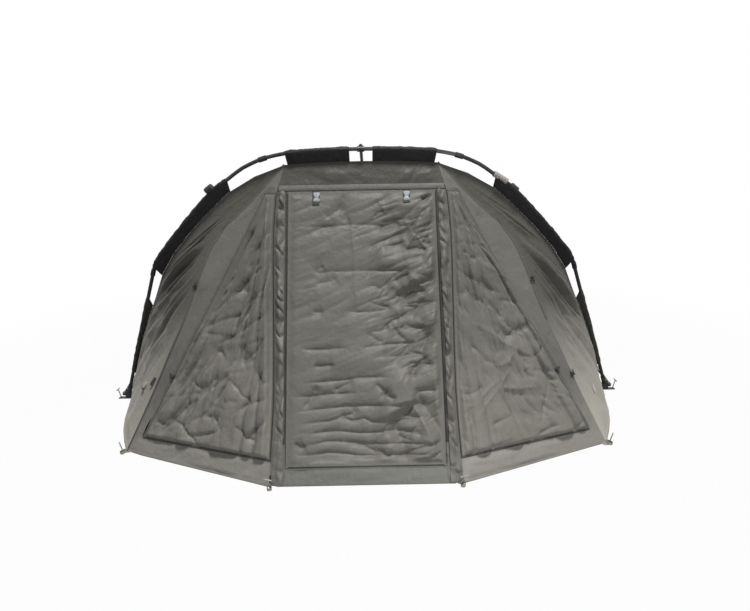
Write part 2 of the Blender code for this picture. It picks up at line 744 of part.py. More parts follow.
class Canopy:
    """Cloth panels that share their seams, so their edges can be mitred together."""

    def __init__(self):
        self.panels = {}
        self.normals = {}

    def add(self, name, rows, look):
        """Take a panel as rows of points, face it outward and add its normals to the shared ones."""
        bm = grid_mesh(rows)
        middle = sum((v.co for v in bm.verts), Vector()) / len(bm.verts)
        inside = Vector((0, 0, HUB_HEIGHT))
        bm.normal_update()
        facing = sum(((f.normal * f.calc_area()) for f in bm.faces), Vector())
        if facing.dot(middle - inside) < 0:
            bmesh.ops.reverse_faces(bm, faces=bm.faces)
            bm.normal_update()
        for face in bm.faces:
            for v in face.verts:
                key = seam_key(v.co)
                self.normals[key] = self.normals.get(key, Vector()) + face.normal * face.calc_area()
        self.panels[name] = (bm, look)

    def finish(self):
        """Give every panel its thickness, mitred at the seams, and a small gap all round."""
        for name, (bm, look) in self.panels.items():
            add_object(name, self.thicken(bm, name), look)

    def thicken(self, bm, name):
        """Close one panel: its outer face, its inner face and its rim."""
        shifts = {}
        rim = [e for e in bm.edges if e.is_boundary]
        for edge in rim:
            face = edge.link_faces[0]
            along = (edge.verts[1].co - edge.verts[0].co).normalized()
            inward = face.normal.cross(along)
            if inward.dot(face.calc_center_median() - edge.verts[0].co) < 0:
                inward.negate()
            for v in edge.verts:
                shifts.setdefault(v, []).append(inward)
        outer = list(bm.verts)
        faces = list(bm.faces)
        on_ground = {v for v in outer if abs(v.co.z) < SEAT_GAP}
        inner = {}
        placed = {}
        for v in outer:
            normal = self.normals[seam_key(v.co)].normalized()
            place = v.co.copy()
            if v in shifts:
                both = sum(shifts[v], Vector()) / len(shifts[v])
                both -= normal * both.dot(normal)
                size = max(both.length, MITRE_LIMIT_SHARE)
                place += both / size**2 * SEAM_GAP / 2
            under = place - normal * CLOTH_THICKNESS
            if v in on_ground:
                place.z = 0
                under.z = 0
            placed[v] = place
            inner[v] = bm.verts.new(under)
        for v in outer:
            v.co = placed[v]
        for face in faces:
            bm.faces.new([inner[v] for v in reversed(face.verts)])
        for edge in rim:
            a, b = edge.verts
            bm.faces.new((a, b, inner[b], inner[a]))
        return mesh_from(bm, name)


def wall_point(half, height):
    """A place on the flat front wall, which leans back from the front pegs to the brim."""
    corner = brim_corner(1)
    share = height / corner.z
    reach = FRONT_PEG_REACH + share * (-corner.y - FRONT_PEG_REACH)
    return Vector((half, -reach, height))


def brim_corner(side):
    """Where the brim, the side panel and the roof meet."""
    return leaning(
        FRONT_LEAN, side, BRIM_CORNER_SHARES[0] * FRONT_HALF_SPAN, BRIM_CORNER_SHARES[1] * FRONT_RISE
    )


def ground_corner(side):
    """Where the window wall, the side panel and the ground meet."""
    return Vector((side * CORNER_HALF, -CORNER_REACH, 0))


def front_peg_corner(side):
    """Where the pillar, the window wall and the ground meet."""
    return Vector((side * FRONT_PEG_HALF, -FRONT_PEG_REACH, 0))


def fold_top(side):
    """The top of the fold between the front wall and a window wall."""
    return wall_point(side * BAND_HALF, BAND_HEIGHT)


def zip_corner(side):
    """Where a window cover's bottom zip meets the fold."""
    share = COVER_ZIP_HEIGHT / BAND_HEIGHT
    half = FRONT_PEG_HALF + (FOLD_HALF - FRONT_PEG_HALF) * share / FOLD_HEIGHT_SHARES[-1]
    return wall_point(side * half, COVER_ZIP_HEIGHT)


def fold_line(side):
    """The fold beside a window cover, from the band down to the cover's bottom zip."""
    middle = [wall_point(side * FOLD_HALF, share * BAND_HEIGHT) for share in FOLD_HEIGHT_SHARES]
    return spaced(smooth([fold_top(side), *middle, zip_corner(side)], PATH_STEPS), SIDE_ROWS)


def outer_seam(side):
    """The seam between a side panel and a window wall, bulging out from a straight line."""
    top = brim_corner(side)
    foot = ground_corner(side)
    facing = (foot - front_peg_corner(side)).cross(top - front_peg_corner(side)).normalized()
    out = facing.cross((foot - top).normalized())
    if out.x * side < 0:
        out.negate()
    points = [top.lerp(foot, along) + out * (push * SEAM_BULGE) for along, push in SEAM_SHARES]
    return spaced(smooth(points, PATH_STEPS), SIDE_ROWS)


def window_plane_point(side, half, height):
    """A place on the flat of a window wall, found from its width and height."""
    foot = front_peg_corner(side)
    facing = (ground_corner(side) - foot).cross(brim_corner(side) - foot).normalized()
    reach = (facing.x * (side * half - foot.x) + facing.z * height) / facing.y
    return Vector((side * half, foot.y - reach, height))


def cover_hinge(side):
    """A window cover's straight hinge line, from its top corner to its bottom corner."""
    top = window_plane_point(side, COVER_TOP_HALF, BAND_HEIGHT)
    foot = window_plane_point(side, COVER_FOOT_HALF, COVER_FOOT_HEIGHT)
    return top, foot


MIDDLE_SHARE = 0.5
EDGE_RISE_SHARE = 2


def folds(centres, depth, facing):
    """Soft folds that stand out from a panel and die away at its edges."""

    def push(down, across):
        edge = math.sin(math.pi * down) * math.sin(math.pi * across)
        height = 0
        for at, slant, width, share in centres:
            off = (down - at - slant * (across - MIDDLE_SHARE)) / width
            height += share * math.exp(-off * off)
        return facing * (depth * height * min(1, edge * EDGE_RISE_SHARE))

    return push


COVER_FOLDS_SHARES = (
    (0.20, 0.30, 0.045, 0.7),
    (0.38, 0.42, 0.050, 1.0),
    (0.55, 0.34, 0.045, 0.8),
    (0.72, 0.22, 0.050, 0.9),
    (0.86, 0.10, 0.040, 0.6),
)
DOOR_FOLDS_SHARES = (
    (0.14, 0.05, 0.030, 0.4),
    (0.27, -0.03, 0.028, 0.5),
    (0.40, 0.02, 0.030, 0.7),
    (0.51, -0.02, 0.026, 0.8),
    (0.62, 0.03, 0.028, 1.0),
    (0.72, -0.02, 0.026, 0.9),
    (0.82, 0.02, 0.028, 1.0),
    (0.92, -0.01, 0.022, 0.7),
)


def make_window_wall(canopy, word, side):
    """The cover with its frame of fixed cloth: over it, down the outer seam and under it."""
    seam = outer_seam(side)
    hinge_top, hinge_foot = cover_hinge(side)
    hinge = straight(hinge_top, hinge_foot, SIDE_ROWS - 1)
    inner = [fold_top(side), *hinge]
    outer = seam
    ground = straight(ground_corner(side), front_peg_corner(side), BRIM_ROWS)
    sill = straight(hinge_foot, zip_corner(side), BRIM_ROWS)
    canopy.add(
        f"window_frame_{word}", lofted([*outer, *ground[1:]], [*inner, *sill[1:]], FRAME_COLUMNS), OLIVE
    )
    facing = window_facing(side)
    cover = lofted(
        fold_line(side),
        straight(hinge_top, hinge_foot, SIDE_ROWS),
        COVER_COLUMNS,
        folds(COVER_FOLDS_SHARES, COVER_FOLD_DEPTH, facing),
    )
    canopy.add(f"window_cover_{word}", cover, OLIVE)


def window_facing(side):
    """The way that a window wall faces."""
    foot = front_peg_corner(side)
    facing = (ground_corner(side) - foot).cross(brim_corner(side) - foot).normalized()
    if facing.y > 0:
        facing.negate()
    return facing


def make_mesh_window(word, side):
    """The mesh panel behind a window cover, lapping behind its frame."""
    back = -window_facing(side) * (CLOTH_THICKNESS + MESH_CLEARANCE + MESH_THICKNESS / 2)
    rows = []
    for fold, hinge in zip(fold_line(side), straight(*cover_hinge(side), SIDE_ROWS)):
        way = (hinge - fold).normalized() * MESH_LAP
        rows.append(straight(fold + way + back, hinge + way + back, MESH_COLUMNS))
    bm = grid_mesh(rows)
    name = f"mesh_window_{word}"
    thing = add_object(name, mesh_from(bm, name), MESH_BLACK)
    shell(thing, MESH_THICKNESS)


def shell(thing, thickness):
    """Give an open surface its thickness."""
    step = thing.modifiers.new("cloth", "SOLIDIFY")
    step.thickness = thickness
    step.offset = 0


def make_front_wall(canopy):
    """The brim, the two pillars, the door and its sill."""
    corners = {side: fold_top(side) for side in SIDES.values()}
    top = brim_top_line()
    band = straight(corners[-1], corners[1], BRIM_ROWS)
    canopy.add("brim", [list(row) for row in zip(*brim_rows(top, band))], OLIVE)
    for word, side in SIDES.items():
        outer = [*fold_line(side), *straight(zip_corner(side), front_peg_corner(side), FRAME_COLUMNS)[1:]]
        inner = [door_edge(side, p.z) for p in outer]
        canopy.add(f"pillar_{word}", lofted(outer, inner, PILLAR_COLUMNS), OLIVE)
    door_foot = [door_edge(side, DOOR_ZIP_HEIGHT) for side in SIDES.values()]
    door_top = [door_edge(side, BAND_HEIGHT) for side in SIDES.values()]
    left = straight(door_top[0], door_foot[0], DOOR_ROWS)
    right = straight(door_top[1], door_foot[1], DOOR_ROWS)
    door = lofted(left, right, DOOR_COLUMNS, folds(DOOR_FOLDS_SHARES, DOOR_FOLD_DEPTH, door_frame()[2]))
    canopy.add("door", door, OLIVE)
    ground = [door_edge(side, 0) for side in SIDES.values()]
    sill = lofted([door_foot[0], ground[0]], [door_foot[1], ground[1]], DOOR_COLUMNS)
    canopy.add("door_sill", sill, OLIVE_DARK)


def door_edge(side, height):
    """A place on the door's side edge."""
    half = DOOR_HALF_FOOT + (DOOR_HALF_TOP - DOOR_HALF_FOOT) * height / BAND_HEIGHT
    return wall_point(side * half, height)


def brim_top_line():
    """The top edge of the brim, from its left corner to its right one."""
    return arch_line(FRONT_LEAN)[SIDE_ROWS : SIDE_ROWS + BRIM_ROWS + 1]


def brim_rows(top, band):
    """The brim's columns of points, whose ends match the window frames' first edges."""
    return [[a.lerp(b, k / FRAME_COLUMNS) for k in range(FRAME_COLUMNS + 1)] for a, b in zip(top, band)]


def half_line(lean, side):
    """The canopy line from its middle down to its foot, divided as its panels are."""
    top, flank = canopy_line(lean, side)
    return [*spaced(top, BRIM_ROWS // 2), *spaced(flank, SIDE_ROWS)[1:]]


def arch_line(lean):
    """The whole canopy line in a rib's plane, foot to foot, divided as its panels are."""
    return [*reversed(half_line(lean, SIDES["left"])), *half_line(lean, SIDES["right"])[1:]]


def rear_hem():
    """The rear hem on the ground, foot to foot, with as many steps as the arch line."""
    halves = []
    for side in SIDES.values():
        start = canopy_foot(side)
        peg = Vector((side * REAR_PEG_HALF, REAR_PEG_REACH, 0))
        bulge = Vector((side, 1, 0)).normalized() * REAR_SIDE_BULGE
        side_run = smooth([start, start.lerp(peg, MIDDLE_SHARE) + bulge, peg], SIDE_ROWS)
        halves.append((spaced(side_run, SIDE_ROWS), peg))
    pegs = (halves[0][1], halves[1][1])
    middle = Vector((0, REAR_MIDDLE_REACH, 0))
    back = spaced(smooth([pegs[0], middle, pegs[1]], BRIM_ROWS), BRIM_ROWS)
    return [*halves[0][0], *back[1:-1], *reversed(halves[1][0])]


def make_side_and_back(canopy):
    """The side panels, the roof between the ribs and the rear wall."""
    for word, side in SIDES.items():
        front = spaced(canopy_line(FRONT_LEAN, side)[1], SIDE_ROWS)
        outer = Vector((side, -1, 0)).normalized()

        def skirt(down, across, outer=outer):
            return outer * (SKIRT_BULGE * down**3 * math.sin(math.pi * across))

        canopy.add(f"side_panel_{word}", lofted(front, outer_seam(side), SIDE_COLUMNS, skirt), OLIVE)
    front_line = arch_line(FRONT_LEAN)
    rear_line = arch_line(REAR_LEAN)
    inside = Vector((0, 0, HUB_HEIGHT))
    roof = lofted(front_line, rear_line, BACK_COLUMNS)
    for i, row in enumerate(roof):
        span = math.sin(math.pi * i / (len(roof) - 1))
        for j, p in enumerate(row):
            sag = ROOF_SAG * span * math.sin(math.pi * j / BACK_COLUMNS)
            row[j] = p + (inside - p).normalized() * sag
    canopy.add("roof", roof, OLIVE)
    canopy.add("rear_wall", lofted(rear_line, rear_hem(), BACK_COLUMNS), OLIVE)


def hem_outline():
    """The whole hem on the ground, once round."""
    back = rear_hem()
    points = [*back]
    points.append(ground_corner(1))
    points.append(front_peg_corner(1))
    points.append(front_peg_corner(-1))
    points.append(ground_corner(-1))
    return points


def make_groundsheet():
    """The floor of the tent, just inside the hem."""
    outline = hem_outline()
    bm = bmesh.new()
    middle = Vector((0, 0, 0))
    ring = []
    for p in outline:
        inward = (middle - p).normalized() * (GROUNDSHEET_INSET + CLOTH_THICKNESS)
        ring.append(bm.verts.new(p + inward))
    bm.faces.new(ring)
    bmesh.ops.triangulate(bm, faces=bm.faces)
    bm.normal_update()
    solid = bmesh.ops.extrude_face_region(bm, geom=bm.faces[:])
    lifted = [v for v in solid["geom"] if isinstance(v, bmesh.types.BMVert)]
    bmesh.ops.translate(bm, vec=UP * GROUNDSHEET_THICKNESS, verts=lifted)
    add_object("groundsheet", mesh_from(bm, "groundsheet"), SHEET_GREEN)


# Sleeves


def corners(points):
    """The distances along a path at which it turns."""
    found = []
    distance = 0
    for a, b in zip(points, points[1:-1]):
        distance += (b - a).length
        found.append(distance)
    return found


def direction_at(points, distance):
    """A path's direction, averaged over a corner."""
    before = point_along(points, distance - POLE_RADIUS)[1]
    after = point_along(points, distance + POLE_RADIUS)[1]
    return (before + after).normalized()


def stations(rib, canopy, start, end):
    """The distances along a rib at which it or the canopy line inside it turns."""
    share = path_length(canopy) / path_length(rib)
    turns = sorted([*corners(rib), *(distance / share for distance in corners(canopy))])
    found = [start]
    for distance in turns:
        if found[-1] + SLEEVE_STEP < distance < end - SLEEVE_STEP:
            found.append(distance)
    return [*found, end]


def make_sleeve(name, rib, canopy, start, end):
    """A loop of cloth round a rib, sewn down to the canopy line inside it."""
    share = path_length(canopy) / path_length(rib)
    snug = POLE_RADIUS + FIT_GAP + SLEEVE_THICKNESS / 2
    half_gap = SLEEVE_LAYER_GAP / 2
    rows = []
    for distance in stations(rib, canopy, start, end):
        centre = point_along(rib, distance)[0]
        way = direction_at(rib, distance)
        edge = point_along(canopy, distance * share)[0]
        drop = (edge - centre).normalized()
        drop = (drop - way * drop.dot(way)).normalized()
        side_way = way.cross(drop).normalized()
        edge = edge - drop * SLEEVE_CLEARANCE
        reach = (edge - centre).length
        facet = (math.pi - math.acos(snug / reach)) / SLEEVE_ARC_STEPS
        loop_radius = snug / math.cos(facet)
        touch = math.acos(loop_radius / math.hypot(reach, half_gap)) + math.atan(half_gap / reach)
        row = [edge + side_way * half_gap]
        for k in range(SLEEVE_ARC_STEPS + 1):
            angle = touch + (math.pi - touch) * 2 * k / SLEEVE_ARC_STEPS
            row.append(centre + (side_way * math.sin(angle) + drop * math.cos(angle)) * loop_radius)
        row.append(edge - side_way * half_gap)
        rows.append(row)
    thing = add_object(name, mesh_from(grid_mesh(rows), name), OLIVE_DARK)
    shell(thing, SLEEVE_THICKNESS)
    return thing


def joint_distances(outline):
    """How far a rib's apex, its two joints and its foot are along it from the apex."""
    found = [0.0]
    for part in ("crown", "shoulder", "leg"):
        found.append(found[-1] + path_length(outline[part]))
    return found


def make_sleeves(pivot):
    """The front rib's six sleeves and the rear rib's two."""
    joints = joint_distances(FRONT)
    rear_joints = joint_distances(REAR)
    runs = {
        "top": (joints[0], TOP_SLEEVE_INSETS, joints[1]),
        "shoulder": (joints[1], SHOULDER_SLEEVE_INSETS, joints[2]),
        "leg": (joints[2], LEG_SLEEVE_INSETS, joints[3]),
    }
    for word, side in SIDES.items():
        rib = rib_from_apex(FRONT, FRONT_LEAN, side)
        canopy = half_line(FRONT_LEAN, side)
        for key, (above, insets, below) in runs.items():
            make_sleeve(f"sleeve_{key}_{word}", rib, canopy, above + insets[0], below - insets[1])
        rear_rib = rib_from_apex(REAR, REAR_LEAN, side)
        start = rear_joints[0] + REAR_SLEEVE_INSETS[0]
        end = rear_joints[2] - REAR_SLEEVE_INSETS[1]
        piece = make_sleeve(f"sleeve_rear_{word}", rear_rib, half_line(REAR_LEAN, side), start, end)
        hang_on(piece, pivot)


# Pegs, buckles and sliders


def hub_peg_place(side):
    """The ground point and the direction of the peg in a hub's lug."""
    foot = Vector((side * (FRONT_HALF_SPAN + LUG_REACH - LUG_WIDTH / 2), 0, 0))
    return foot, peg_way(Vector((side, 0, 0)))


def peg_way(outward):
    """A peg's direction, leaning away from the tent."""
    lean = math.radians(PEG_LEAN_DEG)
    return (UP * math.cos(lean) + outward.normalized() * math.sin(lean)).normalized()


def make_peg(name, foot, way):
    """A steel peg with a bar across its head, standing on the ground at its foot."""
    tip = foot + way * (PEG_RADIUS + SEAT_GAP) / way.z
    shank = add_object(name, smooth_round(mesh_from(rod_mesh(PEG_RADIUS, PEG_HEIGHT, PEG_SIDES), name)), STEEL)
    shank.matrix_world = turn_to(way, tip + way * PEG_HEIGHT / 2)
    cross = UP.cross(way).normalized()
    bar = helper(rod_mesh(PEG_BAR_RADIUS, PEG_BAR_LENGTH, PEG_SIDES), f"{name}_bar")
    bar.matrix_world = turn_to(cross, tip + way * (PEG_HEIGHT - PEG_BAR_RADIUS / 2))
    combine(shank, bar, "UNION")


def add_tab(panel, name, corner, outward, way):
    """A webbing tab sewn to a panel's hem, with a hole for its peg."""
    panel_piece = bpy.data.objects[panel]
    length = TAB_REACH + TAB_OVERLAP
    centre = corner + outward * (TAB_REACH - TAB_OVERLAP) / 2 + UP * (TAB_LIFT + TAB_THICKNESS / 2)
    spin = Matrix.Rotation(math.atan2(outward.y, outward.x), 4, "Z")
    strip = box_mesh(Vector((length, TAB_WIDTH, TAB_THICKNESS)))
    combine(panel_piece, helper(strip, name, Matrix.Translation(centre) @ spin), "UNION")
    foot = corner + outward * (TAB_REACH - TAB_WIDTH / 2)
    hole = helper(rod_mesh(PEG_HOLE_RADIUS, TAB_REACH), f"{name}_hole", turn_to(way, foot))
    combine(panel_piece, hole, "DIFFERENCE")
    return foot


def make_pegs():
    """The eight pegs, two in the hubs and six in tabs along the hem."""
    for word, side in SIDES.items():
        foot, way = hub_peg_place(side)
        make_peg(f"hub_peg_{word}", foot, way)
        corner = ground_corner(side)
        front = front_peg_corner(side)
        rear = Vector((side * REAR_PEG_HALF, REAR_PEG_REACH, 0))
        frame_step = (front - corner).normalized() * TAB_SIDE_STEP
        places = {
            "corner": (f"window_frame_{word}", corner + frame_step),
            "front": (f"pillar_{word}", front - ACROSS * (side * TAB_SIDE_STEP)),
            "rear": ("rear_wall", rear),
        }
        for key, (panel, place) in places.items():
            outward = place.normalized()
            way = peg_way(outward)
            foot = add_tab(panel, f"{key}_tab_{word}", place, outward, way)
            make_peg(f"{key}_peg_{word}", foot, way)


def door_frame():
    """The door's hinge, its way down and the way that it faces."""
    top = wall_point(0, BAND_HEIGHT)
    down = (wall_point(0, 0) - top).normalized()
    facing = down.cross(ACROSS)
    if facing.y > 0:
        facing.negate()
    return top, down, facing


def on_door(across, along, out):
    """A placement on the door: local X across, local Y down it, local Z out of it."""
    top, down, facing = door_frame()
    place = top + ACROSS * across + down * along + facing * out
    turn = Matrix((down.cross(facing), down, facing)).transposed().to_4x4()
    return Matrix.Translation(place) @ turn


def make_buckles(marker):
    """The two side-release buckles that hold the rolled door, each in two parts."""
    for word, side in SIDES.items():
        out = STAND_OFF + BUCKLE_THICKNESS / 2
        along = BUCKLE_BELOW_BAND + BUCKLE_BODY_LENGTH / 2
        name = f"buckle_socket_{word}"
        block = box_mesh(Vector((BUCKLE_WIDTH, BUCKLE_BODY_LENGTH, BUCKLE_THICKNESS)))
        socket = add_object(name, mesh_from(block, name), BUCKLE_GREY, on_door(side * BUCKLE_HALF_SPACING, along, out))
        bevel(socket)
        slot_along = BUCKLE_BELOW_BAND + BUCKLE_BODY_LENGTH - BUCKLE_SLOT_DEPTH / 2
        slot_size = Vector((BUCKLE_SLOT_WIDTH, BUCKLE_SLOT_DEPTH, BUCKLE_SLOT_HEIGHT))
        slot = box_mesh(slot_size + Vector((0, BUCKLE_SLOT_DEPTH, 0)), Vector((0, BUCKLE_SLOT_DEPTH / 2, 0)))
        slot_helper = helper(slot, f"{name}_slot", on_door(side * BUCKLE_HALF_SPACING, slot_along, out))
        combine(socket, slot_helper, "DIFFERENCE")
        hang_on(socket, marker)
        name = f"buckle_clip_{word}"
        tail_along = BUCKLE_BELOW_BAND + BUCKLE_BODY_LENGTH + SEAT_GAP + BUCKLE_TAIL_LENGTH / 2
        tail = box_mesh(Vector((BUCKLE_WIDTH, BUCKLE_TAIL_LENGTH, BUCKLE_THICKNESS)))
        place = on_door(side * BUCKLE_HALF_SPACING, tail_along, out)
        clip = add_object(name, mesh_from(tail, name), BUCKLE_GREY, place)
        bevel(clip)
        reach = BUCKLE_TONGUE_LENGTH + BUCKLE_TAIL_LENGTH / 2
        tongue_size = Vector((BUCKLE_SLOT_WIDTH - FIT_GAP * 2, reach, BUCKLE_SLOT_HEIGHT - FIT_GAP * 2))
        tongue = box_mesh(tongue_size, Vector((0, -reach / 2, 0)))
        combine(clip, helper(tongue, f"{name}_tongue", place), "UNION")
        hang_on(clip, marker)


def make_sliders():
    """The two sliders of the door's side zips, each with its pull."""
    heights = {"left": LEFT_SLIDER_HEIGHT, "right": RIGHT_SLIDER_HEIGHT}
    top = wall_point(0, BAND_HEIGHT)
    for word, side in SIDES.items():
        edge = door_edge(side, heights[word])
        along = (edge - top).dot(door_frame()[1])
        name = f"zip_slider_{word}"
        block = box_mesh(Vector((SLIDER_WIDTH, SLIDER_LENGTH, SLIDER_THICKNESS)))
        place = on_door(edge.x, along, STAND_OFF + SLIDER_THICKNESS / 2)
        slider = add_object(name, mesh_from(block, name), STEEL, place)
        bevel(slider)
        pull_size = Vector((PULL_WIDTH, PULL_LENGTH, PULL_THICKNESS))
        lift = (SLIDER_THICKNESS - PULL_THICKNESS) / 2
        pull = box_mesh(pull_size, Vector((0, PULL_LENGTH / 2, lift)))
        combine(slider, helper(pull, f"{name}_pull", place), "UNION")


def main():
    """Build the tent."""
    pivot = hinge_at("rear_rib_hinge", Vector((0, 0, HUB_HEIGHT)))
    bar_pivot = hinge_at("ridge_bar_hinge", bar_ends()[0])
    door_hinge = hinge_at("door_hinge", door_frame()[0])
    make_front_rib()
    for word, side in SIDES.items():
        make_hub(word, side)
    make_rear_rib(pivot)
    make_apex_block()
    make_ridge_bar(bar_pivot)
    canopy = Canopy()
    make_side_and_back(canopy)
    make_front_wall(canopy)
    for word, side in SIDES.items():
        make_window_wall(canopy, word, side)
    canopy.finish()
    for word, side in SIDES.items():
        make_mesh_window(word, side)
        top, foot = cover_hinge(side)
        hinge = hinge_at(f"window_hinge_{word}", top, foot - top)
        hang_on(bpy.data.objects[f"window_cover_{word}"], hinge)
    hang_on(bpy.data.objects["door"], door_hinge)
    make_groundsheet()
    make_sleeves(pivot)
    make_pegs()
    make_buckles(door_hinge)
    make_sliders()


main()
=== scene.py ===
"""The looks of a two-rib bivvy tent: wrinkled cloth, zips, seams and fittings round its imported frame."""

import math

import bmesh
import bpy
import numpy as np
from mathutils import Matrix, Vector, kdtree


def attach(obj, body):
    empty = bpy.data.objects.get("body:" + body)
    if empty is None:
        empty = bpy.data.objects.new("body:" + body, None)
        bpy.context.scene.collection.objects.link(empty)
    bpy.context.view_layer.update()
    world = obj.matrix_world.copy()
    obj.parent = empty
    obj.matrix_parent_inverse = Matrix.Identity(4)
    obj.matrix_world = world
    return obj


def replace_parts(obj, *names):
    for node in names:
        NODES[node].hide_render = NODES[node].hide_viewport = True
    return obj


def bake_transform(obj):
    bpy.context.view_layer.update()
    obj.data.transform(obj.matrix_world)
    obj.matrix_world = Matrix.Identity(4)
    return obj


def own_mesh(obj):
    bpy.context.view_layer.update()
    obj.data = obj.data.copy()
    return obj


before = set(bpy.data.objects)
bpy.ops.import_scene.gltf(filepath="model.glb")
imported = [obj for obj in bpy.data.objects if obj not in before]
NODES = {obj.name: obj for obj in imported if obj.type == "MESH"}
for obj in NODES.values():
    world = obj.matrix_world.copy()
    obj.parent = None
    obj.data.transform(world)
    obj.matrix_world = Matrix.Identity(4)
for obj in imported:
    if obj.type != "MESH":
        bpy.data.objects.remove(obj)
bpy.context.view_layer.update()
SIDES = {"left": -1, "right": 1}

# Metres: corners closer than WELD are one, cloth is CLOTH thick, and wrinkles start CALM from a border
# and are full at CALM_END
WELD = 0.00001
CLOTH = 0.0010
CALM, CALM_END = 0.010, 0.045
# Farther than any place on a panel is from a line on it
FAR = 9.0
# A place inside the tent, the stage's height, under which no strip dips, and the way up
INSIDE = np.array((0.0, 0.0, 0.4))
GROUND = -0.0005
UP = np.array((0.0, 0.0, 1.0))
# The least length that anything is divided by
TINY = 1e-12

# The photograph's view
LENS_PLACE = np.array((0.0435, -3.4508, 1.5092))
YAW, PITCH, ROLL = math.radians(0.225), math.radians(15.315), math.radians(0.982)
LENS, SENSOR = 28.8, 36.0
WIDTH, HEIGHT = 750, 611
FOCAL = WIDTH * LENS / SENSOR
MIDDLE = (WIDTH / 2, HEIGHT / 2)

# The door wall's plane, the height of the brim's band, and how steep the wall is
DOOR_FOOT = np.array((0.0, -1.033, 0.0))
BRIM_TOP = np.array((0.0, -0.5056, 1.4066))
WALL_OUT = np.cross(BRIM_TOP - DOOR_FOOT, (1.0, 0.0, 0.0))
WALL_OUT *= -1 / np.linalg.norm(WALL_OUT)
BAND_HEIGHT = 1.283
WALL_SLOPE = 0.9353

# The right window wall's way out and its top corner by the brim
WINDOW_OUT = (0.38479, -0.85703, 0.34268)
WINDOW_TOP = (0.465, -0.51057, BAND_HEIGHT)


def camera_place():
    """Where the lens stood, and how it was turned and tipped."""
    yaw = Matrix.Rotation(-YAW, 4, "Z")
    pitch = Matrix.Rotation(math.pi / 2 - PITCH, 4, "X")
    return Matrix.Translation(LENS_PLACE) @ (yaw @ pitch @ Matrix.Rotation(-ROLL, 4, "Z"))


def photo_ray(x, y):
    """The way the camera looks through a pixel of the photograph."""
    return np.array(camera_place().to_3x3() @ Vector(((x - MIDDLE[0]) / FOCAL, (MIDDLE[1] - y) / FOCAL, -1)))


def photo_place(x, y, point, out):
    """The place behind a pixel of the photograph, on the plane through a point that faces a way."""
    ray = photo_ray(x, y)
    return LENS_PLACE + ray * (((point - LENS_PLACE) @ out) / (ray @ out))


def laid(way, out):
    """A direction laid flat on a panel that faces a way, of length one."""
    flat = np.array(way, float) - out * (out @ np.array(way, float))
    return flat / np.linalg.norm(flat)


def unit(rows):
    """Rows of length one."""
    return rows / np.maximum(np.linalg.norm(rows, axis=1), TINY)[:, None]


def run_lengths(line):
    """How far along a run each of its places is."""
    return np.concatenate([[0.0], np.cumsum(np.linalg.norm(np.diff(line, axis=0), axis=1))])


# Noise


def lattice(cell, seed):
    """A repeatable number from -1 to 1 for each whole-number place."""
    x, y, z = (cell[:, i].astype(np.int64) for i in range(3))
    mixed = (x * 73856093) ^ (y * 19349663) ^ (z * 83492791) ^ (seed * 2654435761)
    mixed = (mixed ^ (mixed >> 13)) * 1274126177
    return ((mixed ^ (mixed >> 16)) & 0xFFFFFF) / float(0x7FFFFF) - 1.0


def noise(p, seed):
    """Smooth noise from -1 to 1 at each row of p, whose bumps are one unit apart."""
    base = np.floor(p)
    part = p - base
    fade = part * part * part * (part * (part * 6 - 15) + 10)
    total = np.zeros(len(p))
    for corner in range(8):
        step = np.array((corner & 1, corner >> 1 & 1, corner >> 2 & 1))
        weight = np.prod(np.where(step, fade, 1 - fade), axis=1)
        total += weight * lattice(base + step, seed)
    return total


def ridges(p, seed):
    """Narrow crests from 0 to 1 where smooth noise passes through zero."""
    return (1 - np.minimum(1, np.abs(noise(p, seed)) * 2.2)) ** 2


def flat_places(u, v):
    """Two rows of coordinates as places for noise."""
    return np.stack([u, v, np.zeros_like(u)], axis=1)


def step_between(x, low, high):
    """0 below low, 1 above high, and smooth between them."""
    t = np.clip((x - low) / (high - low), 0, 1)
    return t * t * (3 - 2 * t)


# A fold's height at its very ends, and how fast it grows from them
END_SHARE, END_SLOPE = 0.25, 4
# The part of a fold's height that is a steep core, and how wide the core is beside the fold
CORE_PART, CORE_WIDTH = 0.25, 0.25


def fold_lines(u, v, lines, rise, width):
    """Folds along bent lines, steep beside the line and dying away at its ends."""
    height = np.zeros(len(u))
    for line in lines:
        points = np.array(line)
        runs = points[1:] - points[:-1]
        starts = run_lengths(points)
        best = np.full(len(u), FAR)
        along = np.zeros(len(u))
        for point, run, start in zip(points, runs, starts):
            length = np.linalg.norm(run)
            du, dv = u - point[0], v - point[1]
            t = np.clip((du * run[0] + dv * run[1]) / length**2, 0, 1)
            away = np.hypot(du - t * run[0], dv - t * run[1])
            closer = away < best
            best = np.where(closer, away, best)
            along = np.where(closer, start + t * length, along)
        share = along / starts[-1]
        taper = np.minimum(1, END_SHARE + END_SLOPE * np.minimum(share, 1 - share))
        core = CORE_PART * np.exp(-best / (CORE_WIDTH * width))
        height += rise * taper * ((1 - CORE_PART) * np.exp(-best / width) + core)
    return height


def soft_limit(height, most):
    """Heights kept over the panel and eased under the most."""
    return most * np.tanh(np.maximum(height, 0.0) / most)


def crinkle(p, seed, sharp):
    """Sharp crests from 0 to 1 where smooth noise passes through zero."""
    return np.exp(-sharp * np.abs(noise(p, seed)))


# The facets' mean height and how far their valleys wander, in facets
FACET_MEAN = 0.2
FACET_WANDER = 0.25


def crumpled(u, v, angle, scale, stretch, seed):
    """Flat facets between sharp valleys, level on the whole, longer at an angle than across it."""
    turn = math.radians(angle)
    wander = flat_places(u * scale * 0.35, v * scale * 0.35)
    along = u * math.cos(turn) + v * math.sin(turn) + FACET_WANDER / scale * noise(wander, seed + 1)
    across = v * math.cos(turn) - u * math.sin(turn) + FACET_WANDER / scale * noise(wander, seed + 2)
    return np.abs(noise(flat_places(along * scale / stretch, across * scale), seed)) - FACET_MEAN


